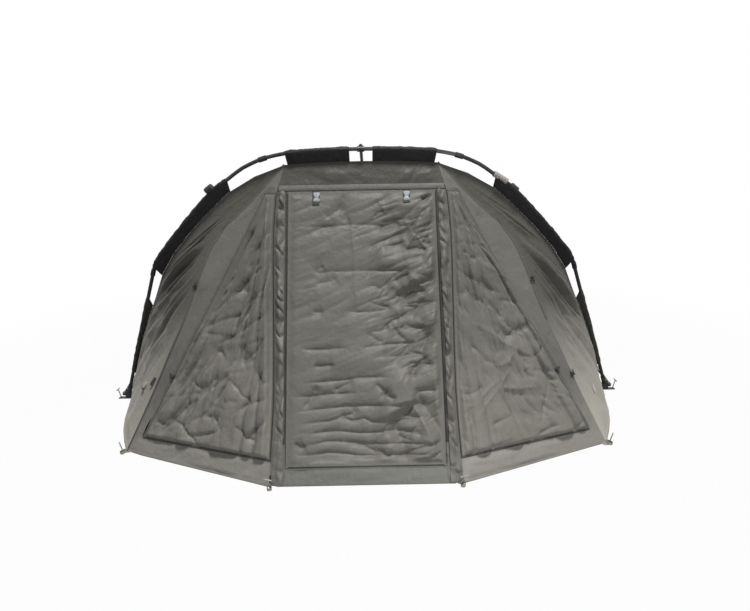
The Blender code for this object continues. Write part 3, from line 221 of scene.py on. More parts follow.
def strewn(count, box, angle, spread, length, seed):
    """Straight fold lines strewn over a stretch of a panel at about one angle."""
    dice = np.random.default_rng(seed)
    lines = []
    for _ in range(count):
        u, v = dice.uniform(box[0], box[1]), dice.uniform(box[2], box[3])
        turn = math.radians(dice.normal(angle, spread))
        long = length * dice.uniform(0.5, 1.5)
        du, dv = math.cos(turn) * long / 2, math.sin(turn) * long / 2
        lines.append(((u - du, v - dv), (u + du * 0.2, v + dv * 0.35), (u + du, v + dv)))
    return lines


# Surfaces taken from the frame's cloth solids


def side_of(node, rim, outward=True):
    """The outer side of a welded cloth solid, or its largest side, as an open mesh without its rim."""
    bm = bmesh.new()
    bm.from_mesh(NODES[node].data)
    bmesh.ops.remove_doubles(bm, verts=bm.verts, dist=WELD)
    edge_faces = [f for f in bm.faces if min(e.calc_length() for e in f.edges) < rim]
    bmesh.ops.delete(bm, geom=edge_faces, context="FACES")
    left = set(bm.faces)
    islands = []
    while left:
        stack = [left.pop()]
        island = []
        while stack:
            face = stack.pop()
            island.append(face)
            for edge in face.edges:
                for other in edge.link_faces:
                    if other in left:
                        left.remove(other)
                        stack.append(other)
        islands.append(island)
    middle = Vector(INSIDE)

    def rank(island):
        if outward:
            return sum(f.normal.dot(f.calc_center_median() - middle) * f.calc_area() for f in island)
        return sum(f.calc_area() for f in island)

    kept = set(max(islands, key=rank))
    bmesh.ops.delete(bm, geom=[f for f in bm.faces if f not in kept], context="FACES")
    bmesh.ops.delete(bm, geom=[v for v in bm.verts if not v.link_faces], context="VERTS")
    return bm


def refined(bm, cuts):
    """Split every triangle alike, and return places and triangles."""
    bmesh.ops.subdivide_edges(bm, edges=bm.edges[:], cuts=cuts, use_grid_fill=True)
    bmesh.ops.triangulate(bm, faces=bm.faces[:])
    bm.verts.index_update()
    co = np.array([v.co for v in bm.verts], float)
    tris = np.array([[v.index for v in f.verts] for f in bm.faces], int)
    bm.free()
    return co, tris


def edges_of(tris):
    """Every edge, and whether it is on the border."""
    every = np.sort(np.concatenate([tris[:, [0, 1]], tris[:, [1, 2]], tris[:, [2, 0]]]), axis=1)
    edges, uses = np.unique(every, axis=0, return_counts=True)
    return edges, uses == 1


# How far each round of smoothing carries a place toward its neighbours' mean
RELAX = 0.6


def relaxed(co, tris, rounds):
    """Smooth the surface between its borders, which stay."""
    edges, border = edges_of(tris)
    held = np.zeros(len(co), bool)
    held[edges[border].ravel()] = True
    count = np.bincount(edges[:, 0], minlength=len(co)) + np.bincount(edges[:, 1], minlength=len(co))
    for _ in range(rounds):
        total = np.zeros_like(co)
        for k in range(3):
            total[:, k] = np.bincount(edges[:, 0], co[edges[:, 1], k], len(co))
            total[:, k] += np.bincount(edges[:, 1], co[edges[:, 0], k], len(co))
        mean = total / count[:, None]
        co = np.where(held[:, None], co, co * (1 - RELAX) + mean * RELAX)
    return co


def normals_of(co, tris):
    """The normal at each place."""
    a, b, c = co[tris[:, 0]], co[tris[:, 1]], co[tris[:, 2]]
    face = np.cross(b - a, c - a)
    out = np.zeros_like(co)
    for i in range(3):
        for k in range(3):
            out[:, k] += np.bincount(tris[:, i], face[:, k], len(co))
    return unit(out)


def tree_of(points):
    """A search tree of places."""
    tree = kdtree.KDTree(len(points))
    for i, p in enumerate(points):
        tree.insert(p, i)
    tree.balance()
    return tree


def border_distance(co, tris):
    """How far each place is from the surface's border."""
    edges, border = edges_of(tris)
    tree = tree_of(co[np.unique(edges[border])])
    return np.array([tree.find(p)[2] for p in co])


def border_loop(tris):
    """The border's places in order, once round."""
    edges, border = edges_of(tris)
    follow = {}
    for a, b in edges[border]:
        follow.setdefault(int(a), []).append(int(b))
        follow.setdefault(int(b), []).append(int(a))
    start = int(edges[border][0, 0])
    loop = [start]
    before, here = None, start
    while True:
        nexts = [n for n in follow[here] if n != before]
        before, here = here, nexts[0]
        if here == start or len(loop) > len(follow):
            return loop
        loop.append(here)


# Materials


def new_material(name):
    """A material with its node tree, its shader and its places in the object's own space."""
    material = bpy.data.materials.new(name)
    material.use_nodes = True
    tree = material.node_tree
    place = tree.nodes.new("ShaderNodeTexCoord").outputs["Object"]
    return material, tree, tree.nodes["Principled BSDF"], place


def add_node(tree, kind, **values):
    """A node with its settings; a setting whose name is a socket's sets that socket."""
    node = tree.nodes.new(kind)
    for key, value in values.items():
        socket = node.inputs.get(key.replace("_", " "))
        if socket is not None and not hasattr(node, key):
            socket.default_value = value
        else:
            setattr(node, key, value)
    return node


def noise_node(tree, place, scale, detail=3.0, roughness=0.5):
    """A noise texture at a place."""
    node = add_node(tree, "ShaderNodeTexNoise", Scale=scale, Detail=detail, Roughness=roughness)
    tree.links.new(place, node.inputs["Vector"])
    return node.outputs["Fac"]


def ramp(tree, value, stops):
    """A colour ramp on a value."""
    node = tree.nodes.new("ShaderNodeValToRGB")
    bar = node.color_ramp
    while len(bar.elements) < len(stops):
        bar.elements.new(0.5)
    for element, (at, colour) in zip(bar.elements, stops):
        element.position = at
        element.color = (*colour, 1.0)
    tree.links.new(value, node.inputs["Fac"])
    return node.outputs["Color"]


def grey(level):
    """A grey of one level."""
    return (level, level, level)


def dyed(tree, value, colour, low, high, socket):
    """Link a colour that a value makes darker and paler by shares of it."""
    dark, pale = (tuple(c * share for c in colour) for share in (low, high))
    tree.links.new(ramp(tree, value, ((0.35, dark), (0.65, pale))), socket)


def roughened(tree, value, rough, less, more, shader):
    """Link a roughness that a value makes smaller and larger."""
    level = ramp(tree, value, ((0.3, grey(rough - less)), (0.7, grey(rough + more))))
    tree.links.new(level, shader.inputs["Roughness"])


def threads(tree, place, scale, distortion, operation):
    """Two crossed waves of threads, combined."""
    waves = []
    for axis in ("X", "Z"):
        wave = add_node(tree, "ShaderNodeTexWave", Scale=scale, Distortion=distortion)
        wave.bands_direction = axis
        tree.links.new(place, wave.inputs["Vector"])
        waves.append(wave.outputs["Fac"])
    return math_node(tree, operation, *waves)


def bump(tree, height, distance, strength, before=None):
    """A bump from a height, over an earlier one."""
    node = add_node(tree, "ShaderNodeBump", Distance=distance, Strength=strength)
    tree.links.new(height, node.inputs["Height"])
    if before is not None:
        tree.links.new(before, node.inputs["Normal"])
    return node.outputs["Normal"]


def math_node(tree, operation, a, b):
    """An operation on two values, each a socket or a number."""
    node = tree.nodes.new("ShaderNodeMath")
    node.operation = operation
    for i, value in enumerate((a, b)):
        if isinstance(value, (int, float)):
            node.inputs[i].default_value = value
        else:
            tree.links.new(value, node.inputs[i])
    return node.outputs[0]


def cloth_look(name, colour, rough=0.56, weave=520.0, sheen=0.06, foot=1.0, reach=0.5):
    """Coated woven cloth: uneven dye, painted light that makes it foot times as pale near the ground as at
    height reach, crumples and weave.
    """
    material, tree, shader, place = new_material(name)
    large = noise_node(tree, place, 2.3, 4.0, 0.55)
    small = noise_node(tree, place, 34.0, 5.0, 0.6)
    parts = math_node(tree, "MULTIPLY", large, 0.65), math_node(tree, "MULTIPLY", small, 0.35)
    mixed = math_node(tree, "ADD", *parts)
    target = shader.inputs["Base Color"]
    # Painted light: the colour pales toward the ground, as light from the floor and the low lamp would make
    # it.
    if foot != 1.0:
        split = tree.nodes.new("ShaderNodeSeparateXYZ")
        tree.links.new(place, split.inputs[0])
        level = ramp(tree, split.outputs["Z"], ((0.02, grey(foot)), (reach, grey(1.0))))
        painted_ground_light = add_node(tree, "ShaderNodeVectorMath", operation="MULTIPLY")
        tree.links.new(level, painted_ground_light.inputs[1])
        tree.links.new(painted_ground_light.outputs[0], target)
        target = painted_ground_light.inputs[0]
    dyed(tree, mixed, colour, 0.9, 1.1, target)
    roughened(tree, small, rough, 0.07, 0.08, shader)
    woven = threads(tree, place, weave, 0.4, "MULTIPLY")
    level = math_node(tree, "SUBTRACT", noise_node(tree, place, 22.0), 0.5)
    first = bump(tree, math_node(tree, "ABSOLUTE", level, 0.0), 0.006, 1.0)
    tree.links.new(bump(tree, woven, 0.00008, 0.5, first), shader.inputs["Normal"])
    shader.inputs["Sheen Weight"].default_value = sheen
    shader.inputs["Specular IOR Level"].default_value = 0.38
    return material


def metal_look(name, colour, metallic, rough):
    """Coated or bare metal, a little uneven and finely scratched."""
    material, tree, shader, place = new_material(name)
    fine = noise_node(tree, place, 90.0, 6.0, 0.7)
    dyed(tree, noise_node(tree, place, 9.0), colour, 0.8, 1.25, shader.inputs["Base Color"])
    roughened(tree, fine, rough, 0.08, 0.12, shader)
    tree.links.new(bump(tree, fine, 0.00006, 0.6), shader.inputs["Normal"])
    shader.inputs["Metallic"].default_value = metallic
    return material


def plastic_look(name, colour, rough):
    """Moulded plastic with a fine grain."""
    material, tree, shader, place = new_material(name)
    wide = noise_node(tree, place, 25.0)
    dyed(tree, wide, colour, 0.85, 1.15, shader.inputs["Base Color"])
    roughened(tree, wide, rough, 0.06, 0.08, shader)
    tree.links.new(bump(tree, noise_node(tree, place, 900.0, 2.0), 0.00005, 0.6), shader.inputs["Normal"])
    return material


def net_look(name, colour, weave=330.0):
    """Fine insect net: threads with see-through holes between them."""
    material, tree, shader, place = new_material(name)
    woven = threads(tree, place, weave, 0.0, "MAXIMUM")
    tree.links.new(ramp(tree, woven, ((0.35, grey(0.25)), (0.6, grey(1.0)))), shader.inputs["Alpha"])
    dyed(tree, noise_node(tree, place, 12.0), colour, 0.8, 1.3, shader.inputs["Base Color"])
    shader.inputs["Roughness"].default_value = 0.8
    return material


# The panel cloths' foot and reach paint light: each grows paler toward the ground, as light from the floor
# and the low lamp would make it.
LOOKS = {
    "canopy": cloth_look("canopy_cloth", (0.118, 0.113, 0.099), foot=1.35, reach=1.0),
    "frame": cloth_look("frame_cloth", (0.138, 0.133, 0.118), foot=2.1, reach=0.34),
    # Painted shade and light: the side cloth is darker than the rest, as panels turned away from the lamps
    # look, and its large foot paints light near the ground.
    "side": cloth_look("side_cloth", (0.081, 0.077, 0.066), foot=6.8, reach=0.72),
    "cover": cloth_look("cover_cloth", (0.115, 0.111, 0.096), foot=1.9, reach=0.9),
    "brim": cloth_look("brim_cloth", (0.044, 0.042, 0.036)),
    "band": cloth_look("band_cloth", (0.120, 0.117, 0.105)),
    "sill": cloth_look("sill_cloth", (0.178, 0.178, 0.162)),
    "dark": cloth_look("sleeve_cloth", (0.007, 0.007, 0.008), rough=0.7, sheen=0.03),
    "leg_sleeve": cloth_look("leg_sleeve_cloth", (0.034, 0.034, 0.028), rough=0.65),
    "seam": cloth_look("seam_cloth", (0.105, 0.102, 0.090)),
    "patch": cloth_look("patch_cloth", (0.620, 0.620, 0.600), rough=0.6),
    "floor": cloth_look("floor_cloth", (0.050, 0.054, 0.042), rough=0.5, weave=300.0),
    "brown": cloth_look("zip_edge_tape", (0.050, 0.046, 0.040), rough=0.7),
    "web": cloth_look("webbing", (0.030, 0.030, 0.029), rough=0.7, weave=420.0),
    "pale_web": cloth_look("pale_webbing", (0.360, 0.340, 0.300), rough=0.7, weave=420.0),
    "thread": cloth_look("stitch_thread", (0.030, 0.029, 0.026), rough=0.6, weave=1500.0),
    "coil": plastic_look("zip_coil", (0.018, 0.018, 0.019), 0.4),
    "black": plastic_look("black_plastic", (0.018, 0.018, 0.019), 0.42),
    "buckle": plastic_look("buckle_plastic", (0.330, 0.345, 0.375), 0.34),
    "pole": metal_look("pole_coating", (0.050, 0.051, 0.055), 0.75, 0.34),
    "joint": metal_look("joint_coating", (0.022, 0.022, 0.024), 0.4, 0.42),
    "steel": metal_look("peg_steel", (0.460, 0.460, 0.450), 1.0, 0.36),
    "net": net_look("insect_net", (0.020, 0.020, 0.020)),
}


# Pieces


def linked(name, mesh):
    """A new object in the scene, for a mesh, lamp or camera."""
    thing = bpy.data.objects.new(name, mesh)
    bpy.context.scene.collection.objects.link(thing)
    return thing


def add_mesh(name, co, faces, look, smooth=True):
    """A new mesh object with a material."""
    mesh = bpy.data.meshes.new(name)
    mesh.from_pydata([tuple(p) for p in co], [], [tuple(int(i) for i in f) for f in faces])
    if smooth:
        mesh.shade_smooth()
    mesh.materials.append(LOOKS[look])
    return linked(name, mesh)


def face_out(mesh):
    """Turn a closed mesh's faces outward, or an open one's all to one side."""
    bm = bmesh.new()
    bm.from_mesh(mesh)
    bmesh.ops.recalc_face_normals(bm, faces=bm.faces)
    bm.to_mesh(mesh)
    bm.free()


def skinned(name, co, sides, look, body, sharp=35):
    """A closed solid over even rings of places, capped at both ends."""
    rings = len(co) // sides
    faces = []
    for i in range(rings - 1):
        for k in range(sides):
            n = (k + 1) % sides
            faces.append((i * sides + k, i * sides + n, (i + 1) * sides + n, (i + 1) * sides + k))
    faces.append(tuple(range(sides)))
    faces.append(tuple((rings - 1) * sides + k for k in reversed(range(sides))))
    thing = add_mesh(name, co, faces, look)
    face_out(thing.data)
    thing.data.set_sharp_from_angle(angle=math.radians(sharp))
    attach(thing, body)
    return thing


def thicken(thing, thickness=CLOTH):
    """Give a cloth surface its thickness inward, with crisp borders."""
    bm = bmesh.new()
    bm.from_mesh(thing.data)
    for edge in bm.edges:
        edge.smooth = not edge.is_boundary
    bm.to_mesh(thing.data)
    bm.free()
    step = thing.modifiers.new("thickness", "SOLIDIFY")
    step.thickness = thickness
    step.offset = -1.0
    return thing


SHEETS = {}


def cloth_panel(node, cuts, rounds, push, look, rim=0.003, calm=(CALM, CALM_END)):
    """A cloth node's outer side, refined and wrinkled, kept for its seams."""
    co, tris = refined(side_of(node, rim), cuts)
    co = relaxed(co, tris, rounds)
    normal = normals_of(co, tris)
    if push is not None:
        away = border_distance(co, tris)
        height = push(co) * step_between(away, *calm)
        co = co + normal * height[:, None]
        normal = normals_of(co, tris)
    SHEETS[node] = {"co": co, "normal": normal, "loop": border_loop(tris)}
    return add_mesh(f"{node}_cloth", co, tris, look)


def declare(piece, node, flat, area, held, rests_on, slot):
    """Hide the node that a cloth piece stands for; flat, area, held, rests_on and slot are not used."""
    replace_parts(piece, node)


def down_wall(height):
    """How far down the door wall from the brim's band a height is."""
    return (BAND_HEIGHT - height) / WALL_SLOPE


def door_place(co):
    """Across the door and down it from the band."""
    return co[:, 0], down_wall(co[:, 2])


# Creases read off enlargements of the photograph, each with its corner and its scale in photo pixels
ENLARGEMENTS = {
    "door_upper": ((275, 180), 8.96),
    "door_lower": ((275, 320), 7.84),
    "right_upper": ((440, 180), 8.71),
    "right_lower": ((440, 320), 8.476),
    "left_upper": ((120, 180), 8.71),
    "left_lower": ((115, 320), 8.476),
}
VALLEYS = {
    "door_upper": (
        ((220, 420), (430, 420), (620, 405), (730, 408), (1230, 410)),
        ((960, 590), (1060, 585), (1160, 555)), ((1170, 622), (1250, 612), (1370, 632)),
        ((300, 820), (420, 830), (500, 812), (660, 815), (760, 815), (1200, 800)),
        ((1160, 992), (1370, 990)), ((830, 1075), (900, 1110), (1040, 1160)), ((640, 1180), (1040, 1168)),
        ((1130, 1143), (1260, 1132)), ((1120, 1322), (1350, 1312)),
        ((1090, 995), (1140, 1050), (1190, 1112)), ((1330, 1050), (1270, 1150), (1230, 1240)),
        ((1060, 500), (1140, 480), (1210, 450)), ((940, 420), (1010, 440), (1120, 375)),
        ((430, 1190), (330, 1185)), ((620, 110), (600, 190), (570, 300)),
        ((440, 350), (560, 270), (610, 200)), ((600, 380), (640, 330), (675, 430)),
        ((320, 460), (430, 430), (560, 420)), ((370, 930), (500, 900), (560, 860)),
        ((1060, 900), (1130, 860), (1210, 845)), ((1320, 545), (1360, 580), (1400, 565)),
        ((1310, 190), (1350, 150), (1390, 110)), ((1120, 1230), (1180, 1200), (1240, 1180)),
        ((960, 1330), (1060, 1250), (1130, 1230)), ((820, 960), (900, 950), (960, 980)),
        ((350, 830), (380, 800), (440, 770)),
    ),
    "door_lower": (
        ((990, 62), (1090, 50), (1180, 50)), ((680, 212), (850, 195), (1100, 180)),
        ((215, 240), (400, 237), (560, 220)), ((850, 290), (980, 280), (1130, 270), (1190, 312)),
        ((290, 366), (380, 362), (465, 355)), ((240, 487), (350, 478), (480, 467), (720, 455), (920, 442)),
        ((1050, 432), (1110, 430)), ((1090, 556), (1275, 556)),
        ((170, 606), (300, 601), (440, 582), (640, 580)),
        ((190, 722), (320, 707), (510, 686), (900, 680), (1150, 662)),
        ((210, 812), (420, 802), (520, 770), (600, 792), (700, 765), (760, 795), (1000, 790), (1160, 772)),
        ((220, 892), (500, 882), (880, 876), (1160, 875)),
        ((240, 982), (400, 960), (620, 962), (900, 972), (1240, 976)),
        ((170, 1058), (400, 1050), (660, 1060), (1230, 1062)), ((250, 1120), (450, 1110), (640, 1135)),
        ((1190, 292), (1120, 360), (1060, 432)), ((1210, 80), (1180, 170), (1150, 262)),
        ((830, 580), (880, 600), (950, 620)), ((780, 495), (830, 540), (890, 585)),
        ((1000, 720), (1070, 760), (1170, 757)), ((800, 1010), (860, 1050), (920, 1080)),
        ((640, 690), (610, 740), (500, 760)), ((760, 90), (830, 85), (900, 60)),
        ((930, 50), (960, 110), (1030, 160)), ((720, 100), (790, 150), (850, 180)),
        ((1250, 960), (1290, 1060), (1320, 1100)), ((1100, 560), (1150, 640), (1170, 700)),
        ((560, 950), (700, 985), (820, 1045)), ((150, 960), (200, 1000), (240, 980)),
        ((220, 700), (290, 610), (330, 500)), ((450, 560), (520, 520), (620, 480)),
    ),
    "right_upper": (
        ((160, 180), (310, 340), (440, 480)), ((150, 800), (330, 920), (500, 1000)),
        ((160, 920), (280, 1040), (440, 1110)), ((480, 1050), (690, 1080), (830, 1075)),
        ((510, 1355), (580, 1345), (640, 1312), (830, 1192)),
        ((215, 240), (290, 400), (400, 560), (420, 700)), ((250, 320), (330, 520), (380, 640)),
        ((490, 500), (560, 680), (640, 830)), ((560, 560), (640, 700), (760, 820)),
        ((170, 620), (230, 680), (300, 690)), ((330, 700), (300, 640), (270, 540)),
        ((480, 680), (520, 800), (560, 940)), ((600, 800), (660, 960), (700, 1060)),
        ((370, 900), (420, 1010), (520, 1220)), ((550, 950), (600, 1100), (650, 1200)),
        ((460, 1120), (520, 1240), (600, 1290)), ((690, 950), (740, 1060), (800, 1150)),
    ),
    "right_lower": (
        ((500, 133), (600, 122), (780, 32)), ((850, 208), (930, 235), (1010, 250)),
        ((700, 428), (860, 430), (1050, 445)), ((780, 592), (900, 680), (1040, 800)),
        ((680, 420), (730, 470), (780, 490)), ((640, 600), (740, 720), (830, 800)),
        ((820, 975), (920, 905), (1000, 880)), ((280, 1110), (370, 1100), (470, 1062), (640, 1000)),
        ((200, 640), (290, 600), (330, 560)), ((340, 340), (420, 370), (480, 440)),
        ((560, 370), (610, 440), (660, 480)), ((750, 330), (800, 280), (870, 220)),
        ((620, 240), (660, 300), (760, 330)), ((880, 480), (960, 510), (1090, 470)),
        ((900, 580), (1000, 620), (1160, 690)), ((540, 590), (590, 720), (640, 790)),
        ((240, 210), (320, 290), (380, 370)), ((830, 690), (900, 760), (1010, 800)),
        ((1100, 950), (1160, 890), (1230, 790)), ((600, 800), (520, 830), (430, 890)),
        ((470, 100), (520, 130), (560, 180)), ((700, 400), (690, 330), (640, 260)),
    ),
    "left_upper": (
        ((1050, 210), (960, 420), (830, 600), (700, 830)), ((1070, 330), (980, 530), (900, 720), (820, 850)),
        ((1110, 500), (1030, 680), (920, 870)),
        ((1030, 840), (900, 930), (830, 1010), (760, 1160), (730, 1270)),
        ((1310, 750), (1220, 810), (1130, 900), (1010, 1010)), ((1130, 890), (980, 1060)),
        ((1320, 1150), (1180, 1260), (1040, 1340), (860, 1440)), ((1110, 1170), (980, 1210), (740, 1290)),
        ((1130, 880), (1110, 1010), (1050, 1180), (1000, 1380)), ((760, 1340), (930, 1355)),
        ((570, 1340), (490, 1380)), ((860, 720), (800, 880), (730, 940)),
        ((950, 960), (860, 1060), (820, 1200)), ((1000, 1040), (900, 1180), (820, 1260)),
        ((680, 940), (620, 1100), (560, 1260)), ((770, 900), (700, 1060), (640, 1210)),
        ((1200, 440), (1120, 560), (1060, 700)), ((1250, 560), (1200, 700), (1150, 800)),
        ((1290, 950), (1200, 1040), (1110, 1170)), ((1170, 1060), (1090, 1240), (1050, 1330)),
    ),
    "left_lower": (
        ((760, 80), (700, 200), (640, 290), (600, 450), (560, 490)),
        ((780, 300), (700, 380), (640, 490), (540, 600), (410, 740), (290, 940)),
        ((980, 460), (870, 560), (820, 590)), ((1190, 330), (1090, 380)),
        ((1000, 500), (900, 640), (780, 780), (620, 900)), ((700, 680), (600, 750), (500, 850), (380, 940)),
        ((780, 810), (860, 850), (930, 910)), ((1050, 880), (1110, 980), (1200, 1040)),
        ((1020, 820), (1130, 720), (1350, 660)), ((1000, 520), (1090, 620), (1190, 720)),
        ((1320, 840), (1200, 930), (1080, 1040)), ((680, 990), (860, 950), (980, 900)),
        ((330, 850), (440, 880)), ((1240, 460), (1280, 540), (1370, 530)),
        ((1290, 150), (1210, 260), (1100, 360)), ((1130, 190), (1040, 330), (960, 430)),
        ((880, 250), (960, 340)), ((680, 520), (720, 560), (820, 600)), ((900, 480), (800, 560), (720, 640)),
        ((940, 700), (1000, 690), (1080, 700)), ((600, 930), (660, 1000), (690, 1050)),
        ((640, 960), (560, 870), (480, 840)), ((600, 720), (450, 860), (330, 940)),
        ((530, 230), (600, 180), (660, 110)),
    ),
}
CRESTS = {
    "door_upper": (
        ((1320, 200), (1290, 340), (1260, 485)), ((1262, 485), (1215, 550), (1175, 615)),
        ((1275, 500), (1320, 570), (1370, 622)), ((1250, 860), (1200, 920), (1160, 985)),
        ((1255, 870), (1310, 940), (1365, 985)),
    ),
    "door_lower": (
        ((980, 490), (1030, 560), (1080, 650), (1150, 780), (1210, 900), (1265, 1010), (1320, 1110)),
    ),
    "right_upper": (
        ((300, 540), (430, 590), (600, 690), (740, 765)), ((330, 720), (480, 820), (620, 885), (760, 955)),
        ((190, 1090), (260, 1250), (400, 1330), (580, 1440)),
    ),
    "right_lower": (
        ((250, 40), (400, 110), (620, 240), (745, 300)), ((470, 382), (560, 350), (592, 288)),
        ((490, 580), (640, 570), (785, 572)),
        ((570, 430), (500, 540), (420, 650), (350, 740), (280, 830), (225, 900)),
        ((190, 745), (300, 690), (420, 560), (500, 470)),
    ),
    "left_upper": (
        ((1000, 280), (900, 500), (800, 690)),
    ),
    "left_lower": (
        ((880, 640), (800, 760), (700, 850)), ((470, 560), (380, 700), (300, 830), (240, 960)),
    ),
}
BENDS = {
    "door_upper": (
        ((905, 110), (950, 220), (995, 295)), ((690, 330), (710, 700), (730, 1150)),
    ),
}


def on_panel(kinds, panel, point, out, place):
    """The lines of a kind read on a panel's enlargements, as places across and down the panel."""
    lines = []
    for part in ("upper", "lower"):
        corner, scale = ENLARGEMENTS[f"{panel}_{part}"]
        for line in kinds.get(f"{panel}_{part}", ()):
            found = [photo_place(corner[0] + x / scale, corner[1] + y / scale, point, out) for x, y in line]
            lines.append(np.stack(place(np.array(found)), axis=1))
    return lines


def door_lines(kinds):
    """The lines of a kind on the door."""
    return on_panel(kinds, "door", DOOR_FOOT, WALL_OUT, door_place)


# In the pushes below, rises, widths and reaches are in metres, a crumple's numbers are its angle in degrees,
# its facets per metre and how much longer than wide they are, and the last number of each call is its seed


def door_push(co):
    """The door's packing creases, the slack folds on its right and the crumples between them."""
    u, v = door_place(co)
    wave = 0.006 * noise(flat_places(u * 7.0, v * 9.0), 11)
    right = step_between(u, 0.02, 0.14)
    low = step_between(v, 0.50, 0.95)
    strong = 0.55 + 0.45 * np.maximum(1.6 * right, 1.2 * low)
    height = fold_lines(u, v + wave, door_lines(VALLEYS), -0.0190, 0.026) * strong
    height += fold_lines(u + wave, v, door_lines(CRESTS), 0.0200, 0.024)
    height += fold_lines(u + wave, v, door_lines(BENDS), 0.0060, 0.016)
    height += fold_lines(u, v, strewn(44, (0.06, 0.34, 0.10, 1.18), -32, 26, 0.12, 31), -0.0100, 0.012)
    height += 0.050 * right * crumpled(u, v, -35, 7.0, 1.6, 21)
    height += (0.005 + 0.012 * right) * crumpled(u, v, -24, 17.0, 4.5, 24)
    height += (0.0022 + 0.0022 * right) * crumpled(u, v, -20, 42.0, 4.0, 27)
    for word in SIDES:
        buckle = centre_of(f"buckle_socket_{word}")
        height *= step_between(np.linalg.norm(co - buckle, axis=1), 0.025, 0.070)
    return np.clip(height + 0.004, -0.030, 0.030)


def centre_of(node):
    """The middle of a node's box."""
    return np.mean([NODES[node].matrix_world @ Vector(corner) for corner in NODES[node].bound_box], axis=0)


# Where a cover's folds spread from, past its top corner
FAN_ACROSS, FAN_DOWN = 0.10, 0.05


def cover_push(side):
    """A window cover's folds, spreading from its top corner and crumpled between."""
    mirror = (side, 1, 1)
    top, out = np.array(WINDOW_TOP) * mirror, np.array(WINDOW_OUT) * mirror
    down = laid(-UP, out)
    across = np.cross(down, out)
    across *= np.sign(across[0]) * side
    panel = "left" if side < 0 else "right"

    def place(co):
        return (co - top) @ across, (co - top) @ down

    valleys = on_panel(VALLEYS, panel, top, out, place)
    crests = on_panel(CRESTS, panel, top, out, place)

    def push(co):
        u, v = place(co)
        wave = 0.006 * noise(flat_places(u * 8.0, v * 8.0), 60 + side)
        height = fold_lines(u + wave, v, valleys, -0.0170, 0.016)
        height += fold_lines(u, v + wave, crests, 0.0130, 0.016)
        angle = np.arctan2(u + FAN_ACROSS, v + FAN_DOWN)
        reach = np.hypot(u + FAN_ACROSS, v + FAN_DOWN)
        grow = step_between(reach, 0.1, 0.5)
        height += 0.044 * crumpled(angle, reach * 0.5, 90, 17.0, 5.0, 61 + side) * grow
        height += 0.020 * crumpled(u, v, 64, 17.0, 5.0, 64 + side)
        height += 0.006 * crumpled(u, v, 12, 24.0, 5.0, 67 + side)
        fine = strewn(60, (0.00, 0.60, 0.15, 1.15), 68, 12, 0.26, 64 + side)
        height += fold_lines(u, v, fine, -0.0130, 0.010)
        height += 0.006 * crumpled(u, v, 80, 46.0, 5.0, 70 + side)
        return soft_limit(height + 0.0180, 0.045)

    return push


# Half the brim's width along its top
BRIM_HALF = 0.366


def side_push(side):
    """A side panel's long folds, pulled from the brim's corner to the hem."""
    corner = BRIM_TOP + (side * BRIM_HALF, 0.0, 0.0)

    def push(co):
        rel = co - corner
        angle = np.arctan2(rel[:, 0] * side, -rel[:, 2])
        reach = np.linalg.norm(rel, axis=1)
        wander = noise(flat_places(reach * 1.8, angle * 4.0), 71 + side)
        fans = noise(flat_places(angle * 20.0 + wander * 0.6, reach * 1.2), 73 + side)
        grow = step_between(reach, 0.10, 0.6)
        height = 0.055 * (np.abs(fans) - 0.25) * grow
        fine = noise(flat_places(angle * 46.0 + wander, reach * 2.4), 75 + side)
        height += 0.020 * (np.abs(fine) - 0.25) * grow
        low = step_between(co[:, 2], 0.10, 0.55)
        height += 0.006 * crumpled(angle, reach * 0.5, 90, 60.0, 3.0, 77 + side) * grow
        return height * (0.35 + 0.65 * low)

    return push


def slack_push(size, rise, seed):
    """Slack cloth: broad soft folds with a few crests."""

    def push(co):
        height = rise * noise(co * (size * 0.45), seed)
        height += rise * 0.9 * crumpled(co[:, 0], co[:, 2] + co[:, 1], 30, size, 4.0, seed + 1)
        height += rise * 0.30 * crumpled(co[:, 0], co[:, 2] + co[:, 1], 20, size * 2.7, 4.0, seed + 4)
        return height

    return push


def pillar_push(side):
    """A pillar's ruffles beside the door zip."""

    def push(co):
        u, v = co[:, 0] * side, down_wall(co[:, 2])
        ruffle = np.sin((v + 0.5 * u) * 120.0 + 4.0 * noise(flat_places(v * 6.0, u * 9.0), 81 + side))
        height = 0.0026 * ruffle + 0.0030 * crinkle(flat_places(u * 26.0, v * 20.0), 83 + side, 3.0)
        return height * (0.6 + 0.4 * noise(flat_places(v * 4.0, u * 2.0), 85))

    return push


def brim_push(co):
    """The brim's soft slanting puckers."""
    u, v = co[:, 0], co[:, 2]
    height = 0.0022 * noise(flat_places(u * 9.0 + v * 12.0, v * 8.0), 91)
    height += 0.0075 * crumpled(u, v, 62, 18.0, 5.0, 93)
    low = step_between(v, 1.36, 1.30)
    return height - 0.0030 * crinkle(flat_places(u * 7.0 + v * 14.0, v * 5.0), 92, 4.0) * (0.3 + 0.7 * low)


def sill_push(co):
    """The sill's waves and its hump."""
    height = 0.0050 * noise(flat_places(co[:, 0] * 7.0, co[:, 2] * 9.0), 95)
    height += 0.0080 * crumpled(co[:, 0], co[:, 2], 8, 26.0, 4.0, 97)
    height -= 0.0020 * crinkle(flat_places(co[:, 0] * 5.0, co[:, 2] * 34.0), 96, 3.0)
    hump = (co[:, 0] + 0.261) / 0.035
    return height + 0.006 * np.exp(-hump * hump)


# Canopy


def canopy_part(
    node, cuts, rounds, push, look, sheet, body="root", slot="canopy_cloth", thickness=CLOTH, **border
):
    """A panel's wrinkled cloth in its node's place; sheet is its flat size, area, hold and rests."""
    piece = thicken(cloth_panel(node, cuts, rounds, push, look, **border), thickness)
    declare(piece, node, *sheet, slot)
    if body:
        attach(piece, body)
    return piece


sheet = ((0.76, 1.31), 0.95, "hung", ["brim_cloth"])
canopy_part("door", 12, 14, door_push, "canopy", sheet, "door")

